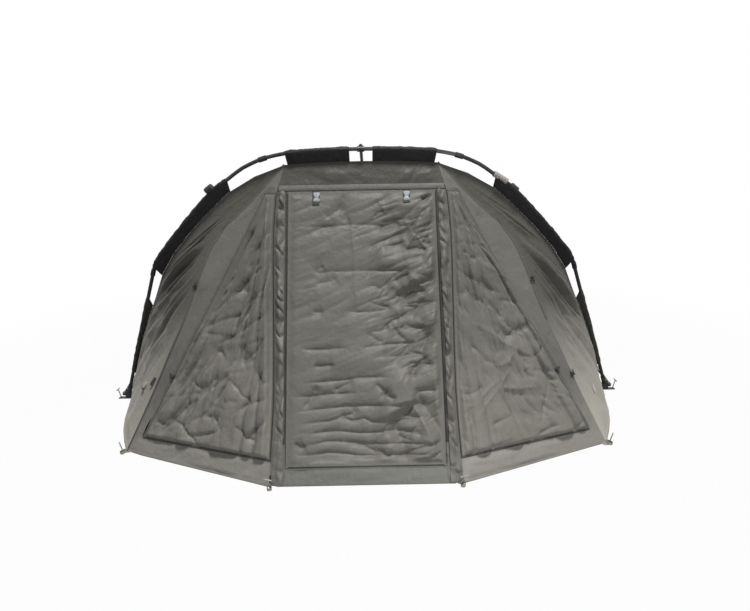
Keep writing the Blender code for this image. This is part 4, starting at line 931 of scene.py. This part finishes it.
PANELS = ("window_cover", "window_frame", "side_panel", "pillar")
for word, side in SIDES.items():
    cover, border, panel, pillar = (f"{kind}_{word}" for kind in PANELS)
    sheet = ((0.83, 1.36), 0.535, "stretched", [f"{border}_cloth"])
    canopy_part(cover, 15, 40, cover_push(side), "cover", sheet, cover, calm=(0.011, 0.030))
    sheet = ((0.50, 1.45), 0.2175, "stretched", [f"corner_peg_{word}"])
    canopy_part(border, 6, 10, slack_push(9.0, 0.0100, 101), "frame", sheet, calm=(0.006, 0.03))
    sheet = ((0.85, 1.55), 0.61, "stretched", [f"sleeve_shoulder_{word}_cloth"])
    canopy_part(panel, 15, 260, side_push(side), "side", sheet, calm=(0.020, 0.120))
    sheet = ((0.09, 1.40), 0.085, "stretched", [f"front_peg_{word}"])
    canopy_part(pillar, 9, 6, pillar_push(side), "canopy", sheet, calm=(0.004, 0.018))

sheet = ((0.82, 0.15), 0.108, "stretched", ["sleeve_top_left_cloth", "sleeve_top_right_cloth"])
canopy_part("brim", 11, 30, brim_push, "brim", sheet, calm=(0.028, 0.060))
sheet = ((0.78, 0.085), 0.0635, "stretched", ["front_peg_left", "front_peg_right"])
canopy_part("door_sill", 10, 4, sill_push, "sill", sheet, calm=(0.004, 0.02))

# The roof between the ribs stretches from one to the other, and the rear wall gathers at the rear rib
sheet = ((4.4, 1.75), 4.36, "stretched", ["rear_arch"])
roof = canopy_part("roof", 7, 120, slack_push(5.0, 0.006, 111), "canopy", sheet, None)
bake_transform(roof)
sheet = ((4.4, 1.3), 2.9, "stretched", ["rear_arch", "rear_peg_left", "rear_peg_right"])
back = canopy_part("rear_wall", 7, 120, slack_push(5.0, 0.006, 121), "canopy", sheet, "rear_rib")
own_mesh(back)

sheet = ((2.95, 2.30), 5.21, "laid", [])
canopy_part("groundsheet", 40, 0, None, "floor", sheet, slot="floor_cloth", rim=0.0018)

for word in SIDES:
    sheet = ((0.83, 1.36), 0.53, "stretched", [f"window_frame_{word}_cloth"])
    canopy_part(
        f"mesh_window_{word}", 3, 0, None, "net", sheet, slot="mesh_cloth", thickness=0.0005, rim=0.0015
    )


# Sleeves


# How thick a sleeve's cloth is
SLEEVE_CLOTH = 0.0008


def make_sleeve(node, area, flat):
    """A sleeve's cloth, puckered round its pole."""
    co, tris = refined(side_of(node, 0.002, outward=False), 4)
    puckers = 0.0030 * ridges(co * 34.0, 131) + 0.0016 * ridges(co * 90.0, 132)
    calm = step_between(border_distance(co, tris), 0.002, 0.010)
    co = co + normals_of(co, tris) * (puckers * calm)[:, None]
    look = "leg_sleeve" if "leg" in node else "dark"
    piece = thicken(add_mesh(f"{node}_cloth", co, tris, look), SLEEVE_CLOTH)
    declare(piece, node, flat, area, "stretched", [], "dark_cloth")
    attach(piece, "rear_rib" if "rear" in node else "root")


# Each sleeve's measured area and flat size
SLEEVES = {
    "top": (0.0465, (0.304, 0.16)),
    "shoulder": (0.093, (0.665, 0.15)),
    "leg": (0.044, (0.555, 0.09)),
    "rear": (0.239, (1.22, 0.21)),
}
for word in SIDES:
    for kind, (area, flat) in SLEEVES.items():
        make_sleeve(f"sleeve_{kind}_{word}", area, flat)


# Seams, zips and trims


def line_distance(points, line):
    """How far each point is from a run of places."""
    best = np.full(len(points), FAR)
    for a, b in zip(line[:-1], line[1:]):
        run = b - a
        t = np.clip((points - a) @ run / max(run @ run, TINY), 0, 1)
        best = np.minimum(best, np.linalg.norm(points - a - t[:, None] * run, axis=1))
    return best


def rows_at(at, lengths, rows):
    """A run's rows at lengths along it."""
    return np.stack([np.interp(at, lengths, rows[:, k]) for k in range(3)], axis=-1)


def spread(line, others, step):
    """A run of places at even steps, with the rows that go with them."""
    lengths = run_lengths(line)
    count = max(2, int(round(lengths[-1] / step)) + 1)
    at = np.linspace(0, lengths[-1], count)
    return [rows_at(at, lengths, rows) for rows in (line, *others)]


def softened(rows, rounds):
    """Even out a run of rows, ends kept."""
    for _ in range(rounds):
        rows[1:-1] = (rows[:-2] + rows[1:-1] * 2 + rows[2:]) / 4
    return rows


# How far to each side of a border's run to look for the panel
LOOK_INTO = 0.006


def border_run(node, keep, step=0.008):
    """The longest run of a panel's border that keep picks: places, the way out and the way into the panel."""
    sheet = SHEETS[node]
    loop = sheet["loop"]
    co = sheet["co"][loop]
    chosen = keep(co)
    count = len(loop)
    starts = [i for i in range(count) if chosen[i] and not chosen[i - 1]]
    best = []
    for start in starts:
        run = [start]
        while chosen[(run[-1] + 1) % count] and len(run) < count:
            run.append((run[-1] + 1) % count)
        if len(run) > len(best):
            best = run
    line = co[best]
    normal = sheet["normal"][loop][best]
    inner = np.setdiff1d(np.arange(len(sheet["co"])), loop)
    tree = tree_of(sheet["co"][inner])
    line, normal = spread(line, (normal,), step)
    normal = unit(softened(normal, 6))
    way = unit(np.gradient(line, axis=0))
    into = unit(np.cross(normal, way))
    gaps = [tree.find(p - q)[2] - tree.find(p + q)[2] for p, q in zip(line, into * LOOK_INTO)]
    return line, normal, into * (1 if sum(np.sign(gaps)) > 0 else -1)


def beside(node, other, reach=0.0035):
    """The run of a panel's border that another panel lies against."""
    edge = SHEETS[other]["co"][SHEETS[other]["loop"]]
    closed = np.concatenate([edge, edge[:1]])
    return border_run(node, lambda co: line_distance(co, closed) < reach)


def swept(name, line, normal, into, profile, look, body, slot):
    """A closed profile carried along a run: a corner is how far it is into the panel and over it."""
    co = np.stack([line + into * x + normal * y for x, y in profile], axis=1).reshape(-1, 3)
    # A strip's end beside a corner on the ground never dips into the ground
    co[:, 2] = np.maximum(co[:, 2], GROUND)
    skinned(name, co, len(profile), look, body, 40)


# The most that a strip's corners are rounded by
STRIP_EDGE = 0.0006


def band(offset, width, thickness, lift=0.0003, crown=0.0):
    """The profile of a flat strip beside a border."""
    low, high = offset - width / 2, offset + width / 2
    top = lift + thickness
    edge = min(thickness, STRIP_EDGE)
    return (
        (low, lift), (low, top - edge / 2), (low + edge, top), (offset, top + crown),
        (high - edge, top), (high, top - edge / 2), (high, lift),
    )


# A stitch's length, half its width and its height, where a row's first one starts and the step to the next
STITCH, STITCH_HALF, STITCH_RISE = 0.0038, 0.0005, 0.0006
FIRST_STITCH, STITCH_STEP = 0.002, 0.0060


def stitched(name, line, normal, into, offset, height, body):
    """A row of stitches beside a border."""
    lengths = run_lengths(line)
    co, faces = [], []
    for at in np.arange(FIRST_STITCH, lengths[-1] - STITCH, STITCH_STEP):
        b = len(co)
        for s in (at, at + STITCH):
            p, n, q = (rows_at(s, lengths, rows) for rows in (line, normal, into))
            foot = p + q * offset + n * height
            co += [foot + q * STITCH_HALF, foot + n * STITCH_RISE, foot - q * STITCH_HALF]
        faces += [(b, b + 1, b + 4, b + 3), (b + 1, b + 2, b + 5, b + 4), (b, b + 3, b + 5, b + 2)]
        faces += [(b, b + 2, b + 1), (b + 3, b + 4, b + 5)]
    thing = add_mesh(name, co, faces, "thread")
    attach(thing, body)


# How far in from the border a zip's tape lies and how thick it is
TAPE_IN, TAPE_THICK = 0.0032, 0.0009
# Half a zip's coil: places into the panel and over it
COIL = ((0.0002, 0.0003), (0.0002, 0.0018), (0.0012, 0.0023), (0.0028, 0.0019), (0.0034, 0.0006))


def zip_half(name, run, body, look="canopy", width=0.0060):
    """Half a zip on a panel's border: its tape and half its coil."""
    swept(f"{name}_tape", *run, band(width / 2 + TAPE_IN, width, TAPE_THICK), look, body, "dark_cloth")
    swept(f"{name}_coil", *run, COIL, "coil", body, "black_plastic")


# Limits that pick out the runs of a border: heights and distances from the tent's middle
HEM_HIGH = 0.004
BAND_HIGH = 1.290
DOOR_SIDE_IN, DOOR_SIDE_LOW, DOOR_SIDE_HIGH = 0.33, 0.084, 1.276
DOOR_FOOT_HIGH, DOOR_FOOT_OUT = 0.086, 0.362
COVER_FOOT_HIGH, COVER_FOOT_OUT = 0.115, 1.128


def hem(node, name, width=0.014, look="canopy"):
    """A folded hem with two rows of stitches along a panel's border on the ground."""
    run = border_run(node, lambda co: co[:, 2] < HEM_HIGH)
    swept(f"{name}_hem", *run, band(width / 2, width, 0.0012), look, "root", "canopy_cloth")
    for row, offset in (("outer", 0.003), ("inner", width - 0.003)):
        stitched(f"{name}_hem_stitches_{row}", *run, offset, 0.0015, "root")


def door_side(side):
    """What picks one side of the door's border, between its foot and the band."""

    def picked(co):
        return (co[:, 0] * side > DOOR_SIDE_IN) & (co[:, 2] > DOOR_SIDE_LOW) & (co[:, 2] < DOOR_SIDE_HIGH)

    return picked


def cover_foot(co):
    """Which places of a cover's border are along its foot."""
    return (co[:, 2] < COVER_FOOT_HIGH) & (np.abs(co[:, 0]) < COVER_FOOT_OUT)


def door_foot(co):
    """Which places of the door's border are along its foot."""
    return (co[:, 2] < DOOR_FOOT_HIGH) & (np.abs(co[:, 0]) < DOOR_FOOT_OUT)


for word, side in SIDES.items():
    cover, border, panel, pillar = (f"{kind}_{word}" for kind in PANELS)
    # The felled seam from the brim's corner to the corner peg
    run = beside(panel, border)
    swept(f"outer_seam_{word}", *run, band(0, 0.013, 0.0011, 0.0004), "seam", "root", "canopy_cloth")
    for row, offset in (("front", -0.0042), ("back", 0.0042)):
        stitched(f"outer_seam_stitches_{row}_{word}", *run, offset, 0.0015, "root")
    # The seam that the cover hinges on
    run = beside(cover, border)
    swept(f"hinge_seam_{word}", *run, band(0.0075, 0.008, 0.0009), "seam", cover, "canopy_cloth")
    stitched(f"hinge_seam_stitches_{word}", *run, 0.0075, 0.0012, cover)
    # The cover's zips
    zip_half(f"cover_side_zip_{word}", beside(cover, pillar), cover)
    zip_half(f"cover_foot_zip_{word}", border_run(cover, cover_foot), cover)
    zip_half(f"pillar_outer_zip_{word}", beside(pillar, cover), "root")
    # The door's zips
    zip_half(f"door_side_zip_{word}", border_run("door", door_side(side)), "door")
    zip_half(f"pillar_inner_zip_{word}", beside(pillar, "door"), "root", "brown", 0.0070)
    hem(border, f"window_wall_{word}", look="frame")
    hem(panel, f"side_panel_{word}", look="side")
    hem(pillar, f"pillar_{word}", 0.012)

zip_half("door_foot_zip", border_run("door", door_foot), "door")
zip_half("sill_zip", beside("door_sill", "door"), "root")
hem("door_sill", "door_sill", 0.012, "sill")

# The brim's band, over the top of the door
run = border_run("brim", lambda co: co[:, 2] < BAND_HIGH)
swept("brim_band", *run, band(0.0175, 0.025, 0.0022, crown=0.0006), "band", "root", "canopy_cloth")
for row, offset in (("lower", 0.009), ("upper", 0.026)):
    stitched(f"brim_band_stitches_{row}", *run, offset, 0.0027, "root")


# A storm flap: how far in from the pillar's outer border it is sewn, half the door's width at the band and at
# the ground, and the gap between the door's edge and the flap's free one
FLAP_IN = 0.005
DOOR_TOP_HALF, DOOR_FOOT_HALF, FLAP_GAP = 0.3520, 0.3720, 0.011
# Its width, and the faces across it
FLAP_WIDTH = 0.055
FLAP_COLUMNS = 14
# Where its tail ends on the ground, and the steps down to it
TAIL = (0.442, -1.031, 0.006)
TAIL_STEPS = 13


def make_flap(word, side):
    """The storm flap down a pillar: sewn beside the cover's zip, loose and ruffled by the door."""
    line = beside(f"pillar_{word}", f"window_cover_{word}")[0]
    if line[0, 2] < line[-1, 2]:
        line = line[::-1]
    tail = np.array(TAIL) * (side, 1, 1)
    line = np.concatenate([line, line[-1] + (tail - line[-1]) * np.linspace(0, 1, TAIL_STEPS + 1)[1:, None]])
    line = spread(line, (), 0.005)[0]
    z = line[:, 2]
    down = down_wall(z)
    half = DOOR_TOP_HALF + (DOOR_FOOT_HALF - DOOR_TOP_HALF) * (BAND_HEIGHT - z) / BAND_HEIGHT
    free = side * (half + FLAP_GAP + 0.004 * noise(flat_places(down * 7.0, np.zeros_like(down)), 149 + side))
    rows = []
    for k in range(FLAP_COLUMNS + 1):
        s = k / FLAP_COLUMNS
        base = line.copy()
        base[:, 0] += (free - line[:, 0]) * s - side * FLAP_IN * (1 - s)
        share = np.full(len(z), s)
        here = share * FLAP_WIDTH
        ruffle = crumpled(here, down, 62 * side, 17.0, 2.2, 141 + side)
        crumple = crumpled(here, down, -50 * side, 34.0, 2.0, 145 + side)
        bulge = math.sin(math.pi * min(1.0, s * 0.8))
        slack = 0.80 + 0.45 * noise(flat_places(down * 3.0, share), 145 + side)
        lift = 0.0014 + 0.0130 * bulge * slack
        loose = step_between(s, 0.10, 0.5)
        lift += loose * 0.026 * ruffle + (0.009 + 0.007 * loose) * crumple * min(1.0, s * 6)
        rows.append(base + WALL_OUT * np.maximum(lift, 0.0012)[:, None])
    grid = np.stack(rows, axis=1)
    faces = []
    for i in range(len(grid) - 1):
        for k in range(FLAP_COLUMNS):
            a = i * (FLAP_COLUMNS + 1) + k
            faces.append((a, a + 1, a + FLAP_COLUMNS + 2, a + FLAP_COLUMNS + 1))
    thing = add_mesh(f"storm_flap_{word}", grid.reshape(-1, 3), faces, "canopy")
    face_out(thing.data)
    if sum(face.normal.y for face in thing.data.polygons) > 0:
        thing.data.flip_normals()
    thicken(thing)
    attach(thing, "root")
    middle = FLAP_COLUMNS // 2
    side_way = unit(grid[:, middle + 1] - grid[:, middle - 1])
    out = unit(np.cross(side_way, unit(np.gradient(grid[:, middle], axis=0))))
    out = out * np.where(out[:, 1] > 0, -1, 1)[:, None]
    stitched(f"storm_flap_stitches_{word}", grid[:, middle], out, side_way, 0, 0.0002, "root")


for word, side in SIDES.items():
    make_flap(word, side)


# Small fittings


# A panel that faces away from the camera is never the one that shows
BEHIND = 10.0


def seen_at(nodes, pixel):
    """The place on some panels that shows at a pixel of the photograph, and the panel's way out there."""
    ray = photo_ray(*pixel)
    ray /= np.linalg.norm(ray)
    best = None
    for node in nodes:
        away = SHEETS[node]["co"] - LENS_PLACE
        gaps = np.linalg.norm(away - (away @ ray)[:, None] * ray, axis=1)
        gaps += BEHIND * (SHEETS[node]["normal"] @ ray > 0)
        k = int(np.argmin(gaps))
        if best is None or gaps[k] < best[0]:
            best = (gaps[k], SHEETS[node]["co"][k], SHEETS[node]["normal"][k])
    return best[1], best[2]


def turned(name, centre, axis, profile, look, sides=16):
    """A round piece turned about an axis: each step is its place along the axis and its radius."""
    axis = axis / np.linalg.norm(axis)
    first = np.cross(axis, UP if abs(axis[2]) < 0.9 else (1.0, 0.0, 0.0))
    first /= np.linalg.norm(first)
    second = np.cross(axis, first)
    co = []
    for along, radius in profile:
        for k in range(sides):
            turn = 2 * math.pi * k / sides
            co.append(centre + axis * along + (first * math.cos(turn) + second * math.sin(turn)) * radius)
    skinned(name, co, sides, look, "root")


def strap(name, line, way_out, width, thickness, look, body="root"):
    """A flat strap along a line, facing one way."""
    line = np.array(line)
    normal = unit(np.repeat([way_out], len(line), axis=0))
    side_way = unit(np.cross(normal, unit(np.gradient(line, axis=0))))
    profile = ((-width / 2, 0), (-width / 2, thickness), (width / 2, thickness), (width / 2, 0))
    swept(name, line, normal, side_way, profile, look, body, "dark_cloth")


# A toggle's bar: places along it and radii
TOGGLE = (
    (-0.015, 0.0015), (-0.0145, 0.0040), (-0.011, 0.0052), (-0.004, 0.0040), (0.004, 0.0040),
    (0.011, 0.0052), (0.0145, 0.0040), (0.015, 0.0015),
)
# Its height over the panel, and its loop's half length, ends' height and rise
TOGGLE_HEIGHT, LOOP_HALF, LOOP_FOOT, LOOP_RISE = 0.0085, 0.022, 0.0012, 0.0135
# Each toggle's pixel in the photograph, and how far its bar leans in degrees
TOGGLES = {
    "left_upper": ((196, 287), 25),
    "left_lower": ((173, 374), 35),
    "right_upper": ((531, 279), -60),
    "right_lower": ((558, 367), -35),
    "right_outer": ((571, 374), -30),
}
for name, (pixel, angle) in TOGGLES.items():
    word = name.split("_")[0]
    spot, out = seen_at((f"window_frame_{word}", f"side_panel_{word}"), pixel)
    up = laid(UP, out)
    turn = math.radians(angle)
    axis = np.cross(up, out) * math.cos(turn) + up * math.sin(turn)
    turned(f"toggle_{name}", spot + out * TOGGLE_HEIGHT, axis, TOGGLE, "black")
    way = np.cross(out, axis)
    run = []
    for share in np.linspace(0, 1, 9):
        height = LOOP_FOOT + LOOP_RISE * math.sin(math.pi * share)
        run.append(spot + way * LOOP_HALF * (1 - 2 * share) + out * height)
    strap(f"toggle_{name}_loop", run, out, 0.008, 0.0010, "web")

# Each tab's pixel in the photograph, its webbing and its length
TABS = {"dark": ((155.7, 378), "web", 0.045), "beige": ((147, 382), "pale_web", 0.035)}
TAB_WAY = (-0.2, 0.0, -1.0)
for name, (pixel, look, length) in TABS.items():
    spot, out = seen_at(("side_panel_left", "window_frame_left"), pixel)
    down = laid(TAB_WAY, out)
    run = []
    for share in np.linspace(0, 1, 7):
        run.append(spot + down * (length * share) + out * (0.002 + 0.008 * math.sin(0.5 * math.pi * share)))
    strap(f"{name}_tab", run, out + WALL_OUT, 0.018, 0.0016, look)
    if name == "beige":
        turned("tab_hook", run[-1] + down * 0.004, np.cross(out, down), TOGGLE, "black")

# The pale patch's pixel in the photograph, its half width and height, its height over the cloth and thickness
PATCH = (593, 389)
PATCH_ACROSS, PATCH_UP = 0.0125, 0.030
PATCH_LIFT, PATCH_THICK = 0.0060, 0.0015
spot, out = seen_at(("side_panel_right",), PATCH)
up = laid(UP, out)
across = np.cross(up, out)
ways = (up * PATCH_UP, across * PATCH_ACROSS, up * -PATCH_UP, across * -PATCH_ACROSS)
corners = [spot + out * PATCH_LIFT + way for way in ways]
corners += [corner + out * PATCH_THICK for corner in corners]
PATCH_FACES = [(3, 2, 1, 0), (4, 5, 6, 7), (0, 1, 5, 4), (1, 2, 6, 5), (2, 3, 7, 6), (3, 0, 4, 7)]
patch = add_mesh("side_patch", corners, PATCH_FACES, "patch", smooth=False)
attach(patch, "root")


def lofted(name, origin, axes, stations, thickness, body):
    """A buckle's half: a station is its place along, its half width and its share of the thickness."""
    across, down, out = axes
    co = []
    for along, half, share in stations:
        low, high = thickness * (1 - share) / 2, thickness * (1 + share) / 2
        edge = min(half * 0.3, thickness * 0.25)
        ring = (
            (-half, low + edge), (-half, high - edge), (-half + edge, high), (half - edge, high),
            (half, high - edge), (half, low + edge), (half - edge, low), (-half + edge, low),
        )
        co += [origin + down * along + across * x + out * y for x, y in ring]
    return skinned(name, co, len(ring), "buckle", body)


# The buckles, moulded with a waist: shares of each half's length, width and thickness
BUCKLES = {
    "buckle_socket": (
        (0.00, 0.80, 0.6), (0.06, 0.98, 0.9), (0.40, 1.00, 1.0), (0.55, 0.92, 1.0), (0.72, 0.70, 0.9),
        (1.00, 0.66, 0.8),
    ),
    "buckle_clip": (
        (0.00, 0.30, 0.3), (0.10, 0.40, 0.4), (0.55, 0.46, 0.5), (0.60, 0.66, 0.8), (0.70, 0.94, 1.0),
        (0.92, 1.00, 1.0), (1.00, 0.86, 0.7),
    ),
}
DOOR_AXES = (np.array((1.0, 0.0, 0.0)), laid(-UP, WALL_OUT), WALL_OUT)
for word in SIDES:
    for kind, shares in BUCKLES.items():
        node = f"{kind}_{word}"
        corners = np.array([NODES[node].matrix_world @ v.co for v in NODES[node].data.vertices])
        low = [(corners @ axis).min() for axis in DOOR_AXES]
        high = [(corners @ axis).max() for axis in DOOR_AXES]
        wide, long, thick = (b - a for a, b in zip(low, high))
        origin = DOOR_AXES[0] * (low[0] + wide / 2) + DOOR_AXES[1] * low[1] + DOOR_AXES[2] * low[2]
        stations = [(along * long, half * wide / 2, share) for along, half, share in shares]
        body = "door" if kind == "buckle_socket" else node
        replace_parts(lofted(f"{node}_moulding", origin, DOOR_AXES, stations, thick, body), node)

# Dark webbing that each buckle hangs on: where it starts above the buckle's middle, and its length
WEB_UP, WEB_LONG = 0.026, 0.068
for word in SIDES:
    gaps = np.linalg.norm(SHEETS["door"]["co"] - centre_of(f"buckle_socket_{word}"), axis=1)
    spot, out = (SHEETS["door"][rows][np.argmin(gaps)] for rows in ("co", "normal"))
    down = laid(-UP, out)
    run = [spot + down * (WEB_LONG * share - WEB_UP) + out * 0.0012 for share in np.linspace(0, 1, 7)]
    strap(f"buckle_strap_{word}", run, out, 0.034, 0.0014, "web", "door")

# Webbing loops round the pegs: each canopy corner and its peg, a loop's radius, lowest height and profile
LOOPS = {
    "front": ((0.444, -1.033), (0.43609, -1.06245)),
    "corner": ((1.228, -0.681), (1.23742, -0.70495)),
}
LOOP_RADIUS, LOOP_BASE = 0.0105, 0.004
LOOP_PROFILE = ((-0.0008, 0.0), (-0.0008, 0.014), (0.0008, 0.014), (0.0008, 0.0))
for kind, places in LOOPS.items():
    for word, side in SIDES.items():
        start, centre = (np.array((x * side, y, LOOP_BASE)) for x, y in places)
        way = (centre - start) / np.linalg.norm(centre - start)
        flank = np.array((way[1], -way[0], 0.0))
        run = [start + flank * 0.004, centre - way * 0.004 + flank * LOOP_RADIUS]
        for turn in np.linspace(0, math.pi, 13)[1:-1]:
            run.append(centre + (flank * math.cos(turn) + way * math.sin(turn)) * LOOP_RADIUS)
        run += [centre - way * 0.004 - flank * LOOP_RADIUS, start - flank * 0.004]
        line = np.array(run)
        sideways = unit(np.cross(np.gradient(line, axis=0), UP))
        swept(f"{kind}_peg_{word}_loop", line, UP, sideways, LOOP_PROFILE, "pale_web", "root", "dark_cloth")

# The front rib's plane: how far it leans back, the way it faces and a place on it
RIB_LEAN = math.radians(20)
RIB_OUT = np.array((0.0, math.cos(RIB_LEAN), math.sin(RIB_LEAN)))
RIB_HUB = np.array((0.0, 0.0, 0.030))
# Straps wound on the front rib by the shoulder sleeves: pixels of their ends, and their radius
WINDS = {
    "right_strap": ((494, 173.5), (507, 181.5), 0.0150, "pale_web"),
    "right_end": ((511, 185.5), (517, 190.5), 0.0165, "web"),
    "left_end": ((212, 186.5), (206, 191.5), 0.0165, "web"),
}
# The turns of each, the dip between two turns, and the drop at its ends
TURNS = 5
WIND_DIP, WIND_END = 0.0015, 0.002
for name, (start, end, radius, look) in WINDS.items():
    a, b = (photo_place(*pixel, RIB_HUB, RIB_OUT) for pixel in (start, end))
    half = np.linalg.norm(b - a) / 2
    lip = radius - WIND_DIP
    profile = [(-half, lip - WIND_END)]
    for k in range(TURNS):
        edge = half * (2 * k / TURNS - 1)
        profile += [(edge, lip), (edge + 0.3 * half / TURNS, radius), (edge + 1.7 * half / TURNS, radius)]
    profile += [(half, lip), (half, lip - WIND_END)]
    turned(f"sleeve_wind_{name}", (a + b) / 2, b - a, profile, look, 24)


# The groundsheet's raised rim, which closes the gap under the walls, in two parts that meet at RIM_SPLIT
RIM_SPLIT = 0.06
RIM_PROFILE = ((0.006, -0.0005), (0.036, 0.045), (0.038, 0.045), (0.012, 0.0005))
RIM_PARTS = {"rear": lambda co: co[:, 1] > RIM_SPLIT, "front": lambda co: co[:, 1] <= RIM_SPLIT}
for part, keep in RIM_PARTS.items():
    line, _, into = border_run("groundsheet", keep, 0.02)
    inward = unit(into * (1, 1, 0))
    swept(f"groundsheet_rim_{part}", line, UP, inward, RIM_PROFILE, "floor", "root", "floor_cloth")


# Frame finish: each look, and what its nodes' names start with
FINISHES = {
    "pole": ("front_crown", "front_leg", "front_shoulder", "rear_arch", "rear_leg", "ridge_bar"),
    "joint": ("front_knuckle", "rear_knuckle", "apex_block", "rear_guide"),
    "black": ("hub_left", "hub_right", "zip_slider"),
    "buckle": ("buckle",),
    "steel": ("hub_bolt", "hub_peg", "front_peg", "corner_peg", "rear_peg"),
}
for look, starts in FINISHES.items():
    for name, thing in NODES.items():
        if name.startswith(starts) and not thing.hide_render:
            thing.data.materials.clear()
            thing.data.materials.append(LOOKS[look])


# Stage, light and camera


def make_stage():
    """A pale floor that fades to white in the camera's view and keeps the object's shadow."""
    material, tree, shader, place = new_material("studio_floor")
    shader.inputs["Base Color"].default_value = (*grey(0.42), 1)
    shader.inputs["Roughness"].default_value = 0.9
    glow = add_node(tree, "ShaderNodeEmission", Strength=1.0)
    mix = tree.nodes.new("ShaderNodeMixShader")
    path = tree.nodes.new("ShaderNodeLightPath")
    away = add_node(tree, "ShaderNodeVectorMath", operation="LENGTH")
    tree.links.new(place, away.inputs[0])
    tenth = math_node(tree, "MULTIPLY", away.outputs["Value"], 0.1)
    white = ramp(tree, tenth, ((0.20, grey(0.96)), (0.40, grey(1.0))))
    tree.links.new(math_node(tree, "MULTIPLY", path.outputs["Is Camera Ray"], white), mix.inputs[0])
    tree.links.new(shader.outputs[0], mix.inputs[1])
    tree.links.new(glow.outputs[0], mix.inputs[2])
    tree.links.new(mix.outputs[0], tree.nodes["Material Output"].inputs["Surface"])
    mesh = bpy.data.meshes.new("studio_floor")
    rows = [(x * STAGE_HALF, y * STAGE_HALF, GROUND) for x, y in ((-1, -1), (1, -1), (1, 1), (-1, 1))]
    mesh.from_pydata(rows, [], [(0, 1, 2, 3)])
    mesh.materials.append(material)
    linked("studio_floor", mesh)


def make_world():
    """A world that is white to the camera and to reflections, and dim as a light."""
    world = bpy.data.worlds.new("studio")
    bpy.context.scene.world = world
    world.use_nodes = True
    tree = world.node_tree
    back = tree.nodes["Background"]
    back.inputs["Color"].default_value = (1, 1, 1, 1)
    path = tree.nodes.new("ShaderNodeLightPath")
    seen = math_node(tree, "MAXIMUM", path.outputs["Is Camera Ray"], path.outputs["Is Glossy Ray"])
    seen = math_node(tree, "MAXIMUM", seen, path.outputs["Is Transmission Ray"])
    level = math_node(tree, "MULTIPLY_ADD", seen, 1 - WORLD_LEVEL)
    level.node.inputs[2].default_value = WORLD_LEVEL
    tree.links.new(level, back.inputs["Strength"])


def make_lamp(name, place, target, size, power):
    """A softbox at a place, turned to a target."""
    data = bpy.data.lights.new(name, "AREA")
    data.shape = "RECTANGLE"
    data.size, data.size_y = size
    data.energy = power
    lamp = linked(name, data)
    lamp.location = place
    lamp.rotation_euler = (Vector(target) - Vector(place)).to_track_quat("-Z", "Y").to_euler()


def make_camera():
    """The photograph's view."""
    data = bpy.data.cameras.new("camera")
    data.lens = LENS
    data.sensor_width = SENSOR
    data.clip_end = 100
    camera = linked("camera", data)
    camera.matrix_world = camera_place()
    bpy.context.scene.camera = camera


# Half the floor's width, and how bright the world is as a light
STAGE_HALF = 14.0
WORLD_LEVEL = 0.07
# Each lamp's place, what it points at, its size in metres and its power in watts
LAMPS = {
    "top_softbox": ((0.5, -2.3, 6.6), (0.0, -0.6, 0.6), (0.9, 0.9), 430.0),
    "low_softbox": ((0.9, -3.0, 0.26), (0.0, -0.9, 0.5), (0.8, 0.5), 15.0),
}
make_stage()
make_world()
for name, lamp in LAMPS.items():
    make_lamp(name, *lamp)
make_camera()
bpy.context.scene.view_settings.view_transform = "Standard"
